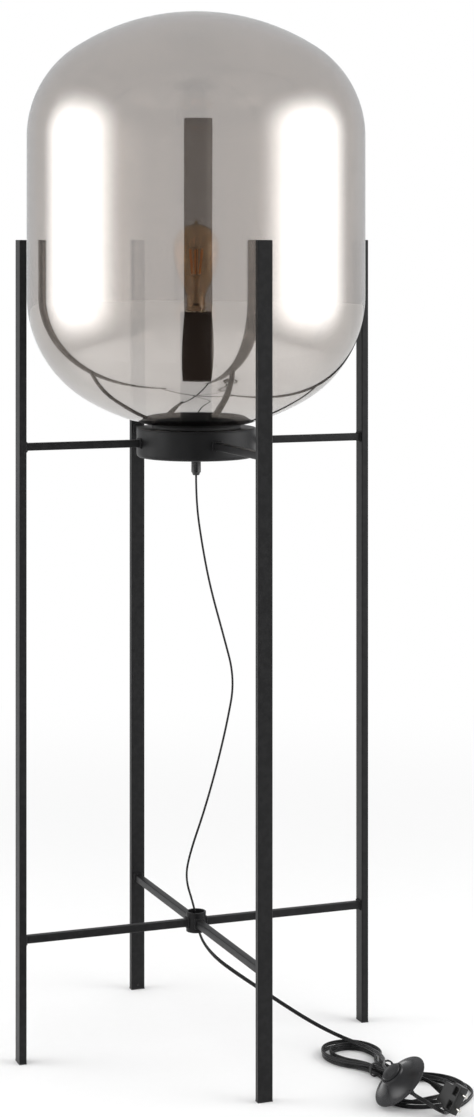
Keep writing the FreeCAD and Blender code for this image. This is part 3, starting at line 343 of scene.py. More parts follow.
def dust_group():
    """Where fine dust settles: on faces that look up, in soft patches."""
    tree, start, end = new_group(
        "Settled dust", [("Place", "Vector", None), ("Amount", "Float", 0.3)], [("Mask", "Float")])
    facing = add(tree, "ShaderNodeSeparateXYZ", {
        0: add(tree, "ShaderNodeNewGeometry").outputs["Normal"]})
    above = add(tree, "ShaderNodeMapRange", {
        "Value": facing.outputs["Z"], "From Min": 0.35, "From Max": 1.0})
    patches = add(tree, "ShaderNodeTexNoise", {
        "Vector": start["Place"], "Scale": 38.0, "Detail": 5.0, "Roughness": 0.7})
    patch = add(tree, "ShaderNodeMapRange", {
        "Value": patches.outputs["Fac"], "From Min": 0.38, "From Max": 0.72})
    soft = math_node(tree, "MULTIPLY", above.outputs["Result"], patch.outputs["Result"])
    tree.links.new(math_node(tree, "MULTIPLY", soft, start["Amount"], True), end["Mask"])
    return tree


def wear_group():
    """Where edges are rubbed: along sharp ridges, broken up by noise."""
    tree, start, end = new_group(
        "Edge wear", [("Place", "Vector", None), ("Amount", "Float", 0.4)], [("Mask", "Float")])
    ridge = add(tree, "ShaderNodeMapRange", {
        "Value": add(tree, "ShaderNodeNewGeometry").outputs["Pointiness"],
        "From Min": 0.53, "From Max": 0.55})
    breaks = add(tree, "ShaderNodeTexNoise", {
        "Vector": start["Place"], "Scale": 120.0, "Detail": 3.0, "Roughness": 0.6})
    broken = add(tree, "ShaderNodeMapRange", {
        "Value": breaks.outputs["Fac"], "From Min": 0.42, "From Max": 0.6})
    both = math_node(tree, "MULTIPLY", ridge.outputs["Result"], broken.outputs["Result"])
    tree.links.new(math_node(tree, "MULTIPLY", both, start["Amount"], True), end["Mask"])
    return tree


GROUPS = {"grain": grain_group, "dust": dust_group, "wear": wear_group}


def use_group(tree, name, place, **inputs):
    if name not in group_trees:
        group_trees[name] = GROUPS[name]()
    node = tree.nodes.new("ShaderNodeGroup")
    node.node_tree = group_trees[name]
    tree.links.new(place, node.inputs["Place"])
    for key, value in inputs.items():
        node.inputs[key].default_value = value
    return node


def empty_finish(name):
    material = bpy.data.materials.new(name)
    material.use_nodes = True
    material.node_tree.nodes.clear()
    return material, material.node_tree


def end_with(tree, shader):
    out = tree.nodes.new("ShaderNodeOutputMaterial")
    tree.links.new(shader, out.inputs["Surface"])


def mixed(tree, factor, first, second):
    """A colour between two, each of them a colour or a socket."""
    node = tree.nodes.new("ShaderNodeMix")
    node.data_type = "RGBA"
    for socket, value in ((node.inputs[0], factor), (node.inputs[6], first),
                          (node.inputs[7], second)):
        if isinstance(value, bpy.types.NodeSocket):
            tree.links.new(value, socket)
        elif isinstance(value, float):
            socket.default_value = value
        else:
            socket.default_value = (*value, 1.0)
    return node.outputs[2]


def solid(name, dark, pale, rough, fineness=900.0, height=0.1, dust=0.0, wear=0.0,
          worn=(0.2, 0.2, 0.2), **shader_values):
    """A finish for anything that light doesn't pass: two shades, grain, dust and rubbed edges."""
    material, tree = empty_finish(name)
    place = add(tree, "ShaderNodeTexCoord").outputs["Object"]
    grain = use_group(tree, "grain", place, Fineness=fineness, Height=height)
    shade = grain.outputs["Shade"]
    base = mixed(tree, shade, dark, pale)
    if dust:
        mask = use_group(tree, "dust", place, Amount=dust).outputs["Mask"]
        base = mixed(tree, mask, base, (0.32, 0.30, 0.28))
    if wear:
        mask = use_group(tree, "wear", place, Amount=wear).outputs["Mask"]
        base = mixed(tree, mask, base, worn)
    roughness = add(tree, "ShaderNodeMapRange", {
        "Value": shade, "From Min": 0.3, "From Max": 0.7, "To Min": rough[0], "To Max": rough[1]})
    shader = add(tree, "ShaderNodeBsdfPrincipled", {
        "Base Color": base, "Roughness": roughness.outputs["Result"],
        "Normal": grain.outputs["Normal"], **shader_values})
    end_with(tree, shader.outputs[0])
    return material


def glassy(name, tint, second, metallic, rough=0.0, scale=6.0):
    """Glass with a slow drift between two tints."""
    material, tree = empty_finish(name)
    place = add(tree, "ShaderNodeTexCoord").outputs["Object"]
    drift = add(tree, "ShaderNodeTexNoise", {
        "Vector": place, "Scale": scale, "Detail": 2.0, "Roughness": 0.5})
    base = mixed(tree, drift.outputs["Fac"], tint, second)
    ripple = add(tree, "ShaderNodeTexNoise", {
        "Vector": place, "Scale": scale * 2.0, "Detail": 1.0, "Roughness": 0.4})
    bump = add(tree, "ShaderNodeBump", {
        "Strength": 0.05, "Distance": 0.001, "Height": ripple.outputs["Fac"]})
    shader = add(tree, "ShaderNodeBsdfPrincipled", {
        "Base Color": base, "Metallic": metallic, "Roughness": rough, "IOR": 1.46,
        "Transmission Weight": 1.0, "Normal": bump.outputs["Normal"]})
    end_with(tree, shader.outputs[0])
    return material


def glowing(name, dark, pale, glow, strength):
    """A thread that glows a little, more in some places than in others."""
    material, tree = empty_finish(name)
    place = add(tree, "ShaderNodeTexCoord").outputs["Object"]
    spots = add(tree, "ShaderNodeTexNoise", {"Vector": place, "Scale": 160.0, "Detail": 2.0})
    base = mixed(tree, spots.outputs["Fac"], dark, pale)
    light = mixed(tree, spots.outputs["Fac"], glow, pale)
    shader = add(tree, "ShaderNodeBsdfPrincipled", {
        "Base Color": base, "Roughness": 0.5, "Emission Color": light,
        "Emission Strength": strength})
    end_with(tree, shader.outputs[0])
    return material


def tinted(colour, share):
    return tuple(min(1.0, part * share) for part in colour)


def make_finishes():
    """Every finish of the lamp, by its name."""
    kit = sizes()
    powder, cord = kit.powder, kit.cord_colour
    return {
        "black_metal": solid(
            "Powder coat", tinted(powder, 0.85), tinted(powder, 1.25), (0.36, 0.41), 2200.0, 0.08,
            dust=0.03, wear=0.10, worn=(0.05, 0.05, 0.05), **{"Specular IOR Level": 0.20}),
        "foot_plastic": solid(
            "Foot plastic", (0.010, 0.010, 0.010), (0.020, 0.020, 0.020), (0.5, 0.65), 700.0),
        "gasket": solid("Gasket", (0.02, 0.02, 0.02), (0.05, 0.05, 0.05), (0.6, 0.8), 500.0),
        "zinc_steel": solid(
            "Zinc", (0.42, 0.43, 0.44), (0.62, 0.63, 0.62), (0.3, 0.5), 300.0, Metallic=1.0),
        "black_plastic": solid(
            "Gloss plastic", (0.008, 0.008, 0.008), (0.016, 0.016, 0.016), (0.16, 0.28), 500.0,
            0.05),
        "wire_sleeve": solid(
            "Wire sleeve", (0.10, 0.05, 0.02), (0.18, 0.09, 0.04), (0.4, 0.6), 400.0),
        "ceramic_white": solid(
            "Porcelain", (0.62, 0.60, 0.56), (0.72, 0.70, 0.66), (0.2, 0.35), 200.0, 0.03),
        "brass": solid(
            "Brass", (0.48, 0.33, 0.12), (0.66, 0.48, 0.20), (0.2, 0.4), 300.0, Metallic=1.0),
        "mirrored_glass": glassy(
            "Mirrored glass", tinted(kit.glass_tint, 0.97), tinted(kit.glass_tint, 1.03), 0.38),
        "clear_glass": glassy("Clear inner glass", (0.93, 0.93, 0.93), (0.97, 0.96, 0.95), 0.0),
        "amber_glass": glassy(
            "Amber glass", kit.amber, tinted(kit.amber, 0.92), 0.06, scale=20.0),
        "bulb_metal": solid(
            "Bulb cap", (0.50, 0.42, 0.30), (0.66, 0.58, 0.44), (0.2, 0.4), 300.0, Metallic=1.0),
        "bulb_insulator": solid(
            "Black glass", (0.01, 0.01, 0.012), (0.02, 0.02, 0.02), (0.1, 0.2), 300.0),
        "stem_glass": glassy("Stem glass", (0.96, 0.9, 0.8), (0.9, 0.82, 0.7), 0.0, scale=30.0),
        "filament": glowing("Filament", (0.55, 0.20, 0.05), (0.9, 0.42, 0.12),
                            (1.0, 0.36, 0.10), 0.30),
        "cord": solid(
            "Cord jacket", tinted(cord, 0.8), tinted(cord, 1.6), (0.20, 0.32), 1200.0, 0.05,
            dust=0.02, **{"Specular IOR Level": 0.30}),
        "tie": solid("Tie", (0.012, 0.012, 0.013), (0.024, 0.024, 0.024), (0.35, 0.5), 900.0),
        "switch_plastic": solid(
            "Switch plastic", (0.010, 0.010, 0.011), (0.018, 0.018, 0.019), (0.17, 0.26), 1400.0,
            0.05, dust=0.03, wear=0.10, worn=(0.04, 0.04, 0.04), **{"Specular IOR Level": 0.36}),
        "plug_plastic": solid(
            "Plug plastic", (0.010, 0.010, 0.010), (0.018, 0.018, 0.018), (0.30, 0.42), 1100.0,
            0.1, dust=0.02, **{"Specular IOR Level": 0.28}),
        "nickel": solid(
            "Nickel", (0.60, 0.58, 0.54), (0.72, 0.70, 0.66), (0.12, 0.25), 250.0, 0.05,
            Metallic=1.0),
    }


# ------------------------------------------------------------------ places on the floor

def hang(x, y, z):
    """A place in the upright plane that faces the camera, given in millimetres."""
    return Matrix.Rotation(math.radians(VIEW_TURN), 3, "Z") @ Vector((x, y, z)) * MM


def waist(u, v, z):
    """A place by the tied cord's own length and width, given in millimetres."""
    turned = Matrix.Rotation(math.radians(WAIST_TURN), 3, "Z") @ Vector((u, v, z))
    return (turned + WAIST_PLACE) * MM


def pose_at(place, *turns):
    pose = Matrix.Translation(place)
    for degrees, axis in turns:
        pose = pose @ Matrix.Rotation(math.radians(degrees), 4, axis)
    return pose


def switch_pose():
    place, turn, tilt = waist(104.6, -43.6, 31), -93.7, math.degrees(sizes().switch_tilt)
    return pose_at(place, (turn, "Z"), (tilt, "X"))


def plug_pose():
    """The plug sits where the lead ends, turned, dipped and rolled over."""
    place, turn, dip, roll = waist(*TO_PLUG[-1]), -74.2, 9.5, math.degrees(sizes().plug_roll)
    return pose_at(place, (turn, "Z"), (dip, "Y"), (roll, "X"))


# ------------------------------------------------------------------ cord

def guide(points):
    """Points along the smooth line that a spline draws between the bends of a cord."""
    curve = bpy.data.curves.new("Cord guide", "CURVE")
    curve.dimensions = "3D"
    line = curve.splines.new("NURBS")
    line.points.add(len(points) - 1)
    for knot, point in zip(line.points, points):
        knot.co = (*point, 1.0)
    line.order_u = 3
    line.use_endpoint_u = True
    line.resolution_u = 10
    holder = bpy.data.objects.new("Cord guide", curve)
    bpy.context.scene.collection.objects.link(holder)
    bpy.context.view_layer.update()
    drawn = bpy.data.meshes.new_from_object(holder)
    path = [vertex.co.copy() for vertex in drawn.vertices]
    bpy.data.objects.remove(holder)
    bpy.data.meshes.remove(drawn)
    bpy.data.curves.remove(curve)
    return evenly(path, CORD_STEP)


def evenly(path, step):
    """The same line with points a fixed step apart."""
    runs = [(b - a).length for a, b in zip(path, path[1:])]
    total = sum(runs)
    count = max(2, round(total / step))
    points, k, passed = [], 0, 0.0
    for n in range(count + 1):
        want = total * n / count
        while k < len(runs) - 1 and passed + runs[k] < want:
            passed += runs[k]
            k += 1
        share = 0.0 if runs[k] == 0 else (want - passed) / runs[k]
        points.append(path[k].lerp(path[k + 1], min(1.0, share)))
    return points


def twin_section():
    """Outline of two round cores side by side, joined by a narrow web."""
    radius = sizes().cord_thick / 2
    apart = sizes().cord_wide / 2 - radius
    web = math.acos(apart / radius)
    steps = 11
    outline = []
    for side in (1, -1):
        for k in range(steps):
            turn = (math.pi - web) * (2 * k / steps - 1)
            outline.append((side * (apart + radius * math.cos(turn)), side * radius * math.sin(turn)))
    return outline


def flat_cord(shape, path):
    """Sweep the twin section along a path. Its width stands upright on level runs."""
    section = twin_section()
    tangents = []
    for k in range(len(path)):
        before, after = path[max(0, k - 1)], path[min(len(path) - 1, k + 1)]
        tangents.append((after - before).normalized())
    widths = []
    for tangent in tangents:
        steep = tangent.z * tangent.z
        towards = AWAY_FROM_VIEW * steep + UP * (1 - steep)
        widths.append((towards - tangent * towards.dot(tangent)).normalized())
    eased = 8
    rings = [[path[0]]]
    for k, tangent in enumerate(tangents):
        near = widths[max(0, k - eased):k + eased + 1]
        wide = sum(near, Vector())
        wide = (wide - tangent * wide.dot(tangent)).normalized()
        flat = tangent.cross(wide)
        rings.append([path[k] + wide * a + flat * b for a, b in section])
    rings.append([path[-1]])
    shape.rows(rings)


DROP = [
    (0, 0, 771), (0, 0, 733), (8, 1, 676), (19, 3, 618), (36, 4, 556), (53, 3, 492),
    (42, 0, 432), (28, -4, 374), (11, -6, 314), (-8, -4, 258), (-15, -1, 222), (-3, 0, 184),
    (1, 0, 160), (8, -1, 136), (26, -2, 114), (52, -3, 95), (84, -4, 74), (118, -6, 52),
    (148, -13, 35), (176, -25, 23),
]
TO_SWITCH = [
    (-101, 15, 14.5), (-74, 21, 14.5), (-45, 18, 16), (-18, 11, 19.5), (8, 0, 22.5),
    (30, -17, 26), (48.47, -28.92, 29.36), (65.02, -32.8, 29.36),
]
FROM_SWITCH = [
    (144.85, -51.53, 29.36), (156.05, -54.16, 29.36), (167, -50, 26.6), (172.3, -41.8, 20.8),
    (173, -31.8, 13.8), (169.8, -21.8, 8), (163.5, -12.8, 4.2), (157.5, -4, 2.7),
    (153.39, 5.48, 2.6),
]
TO_PLUG = [
    (-58, -33.5, 8.2), (-36, -23.5, 9.6), (-14, -13.5, 11.8), (6, -11.5, 14),
    (26, -11.5, 16.5), (48, -10, 18), (70, -10, 21), (94, -14.5, 28),
    (119.3, -15.86, 34.15), (138.9, -13.7, 30.85),
]


def hank_stations():
    """Places and headings round the hank, in millimetres: first inwards, then out again on top."""
    stations = [(Vector((149, 16, 2.6)), Vector((-0.385, 0.923, 0)).normalized())]
    forth, back = Vector((1, 0, 0)), Vector((-1, 0, 0))
    away, near = Vector((0, 1, 0)), Vector((0, -1, 0))
    round_trip = (
        (0, lambda d: (92, 68 - 13.5 * d), back, 0),
        (0.125, lambda d: (0, 13.6 - 7.2 * d), back, 1),
        (0.25, lambda d: (-78, 44 - 10 * d), back, 0),
        (0.3125, lambda d: (-122 + 13 * d, 4), near, 0),
        (0.375, lambda d: (-78, -36 + 10 * d), forth, 0),
        (0.5, lambda d: (0, -13.6 + 7.2 * d), forth, 1),
        (0.6875, lambda d: (92, -58 + 11 * d), forth, 0),
        (0.8125, lambda d: (148 - 15 * d, 5), away, 0),
    )
    turns, upper_from = 3.375, 1.75
    on_floor, crossing, layer = 2.6, 1.6, 5.6
    for turn in range(math.ceil(turns)):
        for share, place, heading, lifted in round_trip:
            count = turn + share
            if count > turns:
                break
            depth = min(count, turns + 0.25 - count)
            height = on_floor + lifted * crossing + (layer if count > upper_from else 0)
            stations.append((Vector((*place(depth), height)), heading))
    return stations


def hank_bends():
    """The bends between stations: the two corners that a pair of joined arcs turns round."""
    bends = []
    stations = hank_stations()
    for (start, heading), (end, last) in zip(stations, stations[1:]):
        gap = end - start
        both = heading + last
        room = 2 * (1 - heading.dot(last))
        if room < 1e-9:
            reach = gap.dot(gap) / (4 * gap.dot(heading))
        else:
            along = gap.dot(both)
            reach = (math.sqrt(along * along + room * gap.dot(gap)) - along) / room
        bends += [start + heading * reach, end - last * reach]
    return bends


def lead_route():
    """From the foot switch down to the hank, round it, and on to the plug."""
    route = [waist(*point) for point in FROM_SWITCH]
    route += [waist(*bend) for bend in hank_bends()]
    return route + [waist(*point) for point in TO_PLUG]


def lay_cord(name, points, replaced):
    """One length of cord along the smooth line that its guide points give."""
    path = guide(points)
    shape = Shape()
    flat_cord(shape, path)
    piece(name, shape, [finishes["cord"]], "stand", "cord", replaced)


def build_cords():
    lay_cord("drop_cord", [hang(*point) for point in DROP] + [waist(*point) for point in TO_SWITCH],
             ["cord_drop"])
    lay_cord("lead_cord", lead_route(), ["cord_to_hank", "cord_hank", "cord_to_plug"])


def band_loop():
    """The middle line of the band round the hank: a rectangle with round corners, in metres."""
    half_wide, low, high, corner = 0.01715, 0.00065, 0.01705, 0.0065
    loop = []
    for sx, sz, first in ((1, 1, 0), (-1, 1, 90), (-1, -1, 180), (1, -1, 270)):
        for k in range(9):
            turn = math.radians(first + 90 * k / 8)
            loop.append((sx * (half_wide - corner) + corner * math.cos(turn),
                         (high if sz > 0 else low) - sz * corner + corner * math.sin(turn)))
    return loop


def band_turn(shape, start, wide):
    """One turn of the flat band, which wavers a little, from its start in millimetres."""
    loop = band_loop()
    edge, waver = 0.25, 0.12
    section = ((0, -0.4), (edge, -0.55), (wide - edge, -0.55), (wide, -0.4),
               (wide, 0.4), (wide - edge, 0.55), (edge, 0.55), (0, 0.4))
    rings = []
    for k, (v, z) in enumerate(loop):
        wave = waver * math.sin(k * 0.9 + start)
        ahead, behind = Vector(loop[(k + 1) % len(loop)]), Vector(loop[k - 1])
        along = (ahead - behind).normalized()
        out = Vector((along.y, -along.x))
        rings.append([waist(start + a + wave, (v + out.x * b * MM) / MM,
                            (z + out.y * b * MM) / MM) for a, b in section])
    shape.rows(rings + rings[:1])


def band_end(shape):
    """The free end of the band, which rises and twists on top of the hank."""
    rings = []
    for k in range(12):
        t = k / 11
        centre = Vector((2.0 + 15 * t, 3.0 + 4 * t, 17.4 + 3.0 * math.sin(t * 2.6)))
        turn = 2.2 * t
        side = Vector((0, math.cos(turn), math.sin(turn)))
        flat = Vector((0, -math.sin(turn), math.cos(turn)))
        rings.append([waist(*(centre + side * a + flat * b))
                      for a, b in ((-1, -0.3), (1, -0.3), (1, 0.3), (-1, 0.3))])
    poles = [[sum(ring, Vector()) / 4] for ring in (rings[0], rings[-1])]
    shape.rows(poles[:1] + rings + poles[1:])


def build_band():
    """A flat band wound twice round the waist of the hank, with a short free end on top."""
    shape = Shape()
    for start in (-2.2, 0.1):
        band_turn(shape, start, 2.0)
    band_end(shape)
    piece("cord_band", shape, [finishes["tie"]], "stand", "tie", ["cord_tie"])


# ------------------------------------------------------------------ globe and bulb

def cap_radius(reach, corner, radius):
    """Radius of a cap that runs smoothly into its corner."""
    return (radius * radius - 2 * radius * corner + reach * reach) / (2 * (reach - corner))


def globe_side(inset, neck):
    """The globe's outline on one face, from the neck up to the crown."""
    kit = sizes()
    radius, low, high = kit.glass_radius, kit.glass_lower_corner, kit.glass_upper_corner
    bowl = cap_radius(kit.glass_side_bottom - kit.glass_pole, low, radius)
    dome = cap_radius(kit.glass_top - kit.glass_side_top, high, radius)
    bowl_centre, dome_centre = kit.glass_pole + bowl, kit.glass_top - dome
    line = []

    def turn(x, y, size, first, last, steps):
        for k in range(steps + 1):
            at = first + (last - first) * k / steps
            line.append((x + size * math.cos(at), y + size * math.sin(at)))

    meet_low = math.atan2(kit.glass_side_bottom - bowl_centre, radius - low)
    meet_high = math.atan2(kit.glass_side_top - dome_centre, radius - high)
    start = -math.acos(neck / (bowl - inset))
    turn(0, bowl_centre, bowl - inset, start, meet_low, 14)
    turn(radius - low, kit.glass_side_bottom, low - inset, meet_low, 0, 30)
    for k in range(1, 10):
        share = k / 10
        line.append((radius - inset,
                     kit.glass_side_bottom * (1 - share) + kit.glass_side_top * share))
    turn(radius - high, kit.glass_side_top, high - inset, 0, meet_high, 30)
    turn(0, dome_centre, dome - inset, meet_high, math.pi / 2, 22)
    line[-1] = (0.0, line[-1][1])
    return line


def build_globe():
    """The mirrored outer face, the clear inner face, and the polished rim of the neck."""
    kit = sizes()
    outer = globe_side(0, kit.neck_radius)
    inner = globe_side(kit.glass_wall, kit.neck_bore)
    (out_r, out_z), last = outer[0], inner[0]
    rim = bow((out_r, out_z), (last[0], out_z + 0.0002), -0.0026, 6)
    rim[0] = outer[0]
    rim.append(last)
    shape = Shape()
    for outline, kind in ((outer, 0), (inner, 1), (rim, 0)):
        shape.lathe(outline, 160, kind=kind)
    piece("globe", shape, [finishes["mirrored_glass"], finishes["clear_glass"]], "shade",
          "mirrored_glass", ["glass_shade"], sharp=60.0)


def bulb_side(inset):
    """The bulb's outline on one face, in millimetres, from its neck up to the crown."""
    radius, flank, bend_drop, neck, crown = 32.0, 110.0, 56.0, 12.5, 1112.0
    middle = crown - radius
    rise = math.sqrt(flank * flank - bend_drop * bend_drop) / flank
    slope = bend_drop / flank
    bend = (radius - flank + flank * rise - neck) / (1 - rise)
    foot = middle - bend_drop - bend * slope
    join = (radius - flank + (flank - inset) * rise, middle - (flank - inset) * slope)
    line = [(neck - inset, 994.0)]
    line += bow((neck - inset, foot), join, -(bend + inset), 10)
    line += bow(join, (radius - inset, middle), flank - inset, 14)[1:]
    line += bow((radius - inset, middle), (0.0, crown - inset), radius - inset, 16)[1:]
    line[-1] = (0.0, crown - inset)
    return line


def bulb_thread(shape, turn):
    """One ridged filament, which leans out from the stem, at a turn round the bulb's axis."""
    way = Vector((math.cos(turn), math.sin(turn), 0))
    low, high = way * 6 + UP * 1044, way * 9.5 + UP * 1077
    axis = (high - low).normalized()
    side = Vector((-way.y, way.x, 0))
    other = axis.cross(side)
    rings = [[low * MM]]
    for s in range(34):
        fat = 0.75 + 0.15 * (s % 2)
        centre = low.lerp(high, s / 33)
        rings.append([(centre + (side * math.cos(a) + other * math.sin(a)) * fat) * MM
                      for a in (math.tau * j / 10 for j in range(10))])
    rings.append([high * MM])
    shape.rows(rings)


def build_bulb():
    """The bulb's amber glass with its sealed tip, the stem, and the glowing threads."""
    outer, inner = bulb_side(0), bulb_side(0.8)
    tip = [(2.2, 1112.6), (1.4, 1116.2), (0.6, 1117.7), (0.0, 1118.0)]
    tipped = [(r, z) for r, z in outer if r > 2.4] + tip
    envelope = Shape()
    for line in (tipped, inner, [outer[0], inner[0]]):
        envelope.lathe(in_metres(line), 96)
    piece("bulb_envelope", envelope, [finishes["amber_glass"]], "lamp_bulb", "amber_glass",
          ["bulb_glass"], sharp=60.0)
    stem = Shape()
    stem.lathe(in_metres(softened([
        (0, 994, 0), (11.5, 994, 0.4), (11.4, 996, 1), (3.4, 1003, 3), (3.0, 1035, 2),
        (5.5, 1038, 1), (5.5, 1041, 1), (1.4, 1044, 1), (1.2, 1079.4, 0.4), (0, 1080, 0)])), 48)
    piece("bulb_stem_glass", stem, [finishes["stem_glass"]], "lamp_bulb", "stem_glass",
          ["bulb_stem"])
    threads = Shape()
    for k in range(FILAMENTS):
        bulb_thread(threads, math.tau * k / FILAMENTS)
    piece("bulb_threads", threads, [finishes["filament"]], "lamp_bulb", "filament",
          ["bulb_filaments"])


# ------------------------------------------------------------------ drum, sleeve, hub and grip

def build_drum():
    """A pressed cup and its lid, with the seam between them, as one turned form."""
    kit = sizes()
    radius, low, high, bore = kit.drum_radius, kit.drum_bottom, kit.drum_top, 0.0052
    seam = high - 0.0016
    outline = softened([
        (bore, low, 0), (radius, low, 0.006), (radius, seam - 0.0004, 0.0003),
        (radius - 0.0005, seam - 0.0001, 0), (radius - 0.0005, seam + 0.0001, 0),
        (radius, seam + 0.0004, 0.0003), (radius, high, 0.0009), (bore, high, 0),
    ], 8)
    shape = Shape()
    shape.lathe(outline, 160, closed=True)
    piece("drum", shape, [finishes["black_metal"]], "stand", "black_metal",
          ["drum_casing", "drum_plate"], sharp=40.0)


def build_sleeve():
    """The black tube that stands on the drum and hides the lamp holder."""
    kit = sizes()
    radius, low, high = kit.sleeve_radius, kit.drum_top, kit.sleeve_top
    bore = radius - 0.0012
    shape = Shape()
    shape.lathe(softened([
        (bore, low, 0), (radius, low, 0.0002), (radius, high, 0.0005), (bore, high, 0.0005),
        (bore, low + 0.0001, 0)]), 96, closed=True)
    piece("sleeve", shape, [finishes["black_metal"]], "stand", "black_metal", ["lamp_sleeve"])


def build_hub():
    """The short open tube in which the lower crossbars meet."""
    kit = sizes()
    shape = Shape()
    shape.lathe(softened([
        (kit.hub_bore, kit.hub_bottom, 0), (kit.hub_radius, kit.hub_bottom, 0.0007),
        (kit.hub_radius, kit.hub_top, 0.0007), (kit.hub_bore, kit.hub_top, 0.0007),
        (kit.hub_bore, kit.hub_bottom + 0.0001, 0)]), 72, closed=True)
    piece("hub_ring", shape, [finishes["black_metal"]], "stand", "black_metal", ["hub"])


def grip_ring(radius, height, groove=0.0):
    """One ring of the cord grip, in millimetres. A groove sinks every third point."""
    steps = 72
    ring = []
    for j in range(steps):
        turn = math.tau * j / steps
        reach = (radius - (groove if j % 3 == 0 else 0)) * MM
        ring.append((reach * math.cos(turn), reach * math.sin(turn), height * MM))
    return ring


def build_grip():
    """The cord grip: a knurled barrel, a waisted nose and a round mouth."""
    mouth, barrel, groove = 2.3, 6.5, 0.28
    low, knurl_low, knurl_high, high = 770.0, 775.2, 787.8, 789.4
    nose = softened([(mouth, low, 0), (4.4, low, 0.8), (5.4, 773.2, 0.8), (barrel, 774.2, 0.5),
                     (barrel, knurl_low, 0)])
    top = softened([(barrel, knurl_high, 0), (barrel, 788.6, 0.6), (5.2, high, 0)])
    rings = [grip_ring(*point) for point in nose[:-1]]
    rings += [grip_ring(barrel, knurl_low, groove), grip_ring(barrel, knurl_high, groove)]
    rings += [grip_ring(*point) for point in top[1:] + [(mouth, high), (mouth, low)]]
    shape = Shape()
    shape.rows(rings)
    piece("grip", shape, [finishes["black_plastic"]], "stand", "black_plastic", ["cord_grip"],
          sharp=50.0)


# ------------------------------------------------------------------ pieces made by node trees

def node_tree(name, takes):
    """A tree of geometry nodes with named inputs."""
    tree = bpy.data.node_groups.new(name, "GeometryNodeTree")
    tree.interface.new_socket("Geometry", in_out="INPUT", socket_type="NodeSocketGeometry")
    for label, kind, value in takes:
        socket = tree.interface.new_socket(label, in_out="INPUT", socket_type="NodeSocket" + kind)
        if value is not None:
            socket.default_value = value
    tree.interface.new_socket("Geometry", in_out="OUTPUT", socket_type="NodeSocketGeometry")
    start = tree.nodes.new("NodeGroupInput").outputs
    end = tree.nodes.new("NodeGroupOutput").inputs
    return tree, start, end


def finish_tree(tree, geometry, finish, end):
    real = add(tree, "GeometryNodeRealizeInstances", {"Geometry": geometry})
    painted = add(tree, "GeometryNodeSetMaterial", {
        "Geometry": real.outputs[0], "Material": finish})
    tree.links.new(painted.outputs[0], end["Geometry"])


def grown(tree, base, values):
    """The plain mesh that a node tree makes from a base mesh and named inputs."""
    holder = bpy.data.objects.new(tree.name, base)
    bpy.context.scene.collection.objects.link(holder)
    modifier = holder.modifiers.new("Nodes", "NODES")
    modifier.node_group = tree
    for item in tree.interface.items_tree:
        if item.in_out == "INPUT" and item.name in values:
            modifier[item.identifier] = values[item.name]
    bpy.context.view_layer.update()
    result = holder.evaluated_get(bpy.context.evaluated_depsgraph_get())
    mesh = bpy.data.meshes.new_from_object(result)
    holder.modifiers.remove(modifier)
    bpy.data.objects.remove(holder)
    return mesh


def crossbar_tree():
    """Four square bars that run in from a ring of legs."""
    tree, start, end = node_tree("Crossbars", [
        ("Side", "Float", 0.01), ("Corner", "Float", 0.0012), ("Ring", "Float", 0.2474),
        ("Leg half", "Float", 0.005), ("Inner reach", "Float", 0.08), ("Height", "Float", 0.8),
        ("Finish", "Material", None)])
    square = add(tree, "GeometryNodeCurvePrimitiveQuadrilateral", {
        "Width": start["Side"], "Height": start["Side"]})
    rounded = add(tree, "GeometryNodeFilletCurve", {
        "Curve": square.outputs[0], "Radius": start["Corner"], "Count": 4}, mode="POLY")
    far = math_node(tree, "SUBTRACT", start["Inner reach"], start["Ring"])
    near = math_node(tree, "MULTIPLY", start["Leg half"], -1.0)
    first = add(tree, "ShaderNodeCombineXYZ", {0: far}).outputs[0]
    last = add(tree, "ShaderNodeCombineXYZ", {0: near}).outputs[0]
    line = add(tree, "GeometryNodeCurvePrimitiveLine", {"Start": first, "End": last})
    bar = add(tree, "GeometryNodeCurveToMesh", {
        "Curve": line.outputs[0], "Profile Curve": rounded.outputs[0], "Fill Caps": True})
    ring = add(tree, "GeometryNodeMeshCircle", {"Vertices": 4, "Radius": start["Ring"]})
    lift = add(tree, "ShaderNodeCombineXYZ", {2: start["Height"]}).outputs[0]
    place = add(tree, "GeometryNodeInputPosition").outputs[0]
    turn = add(tree, "FunctionNodeAlignRotationToVector", {"Vector": place}, axis="X",
               pivot_axis="Z")
    bars = add(tree, "GeometryNodeInstanceOnPoints", {
        "Points": ring.outputs[0], "Instance": bar.outputs[0], "Rotation": turn.outputs[0]})
    raised = add(tree, "GeometryNodeTransform", {
        "Geometry": bars.outputs[0], "Translation": lift})
    finish_tree(tree, raised.outputs[0], start["Finish"], end)
    return tree


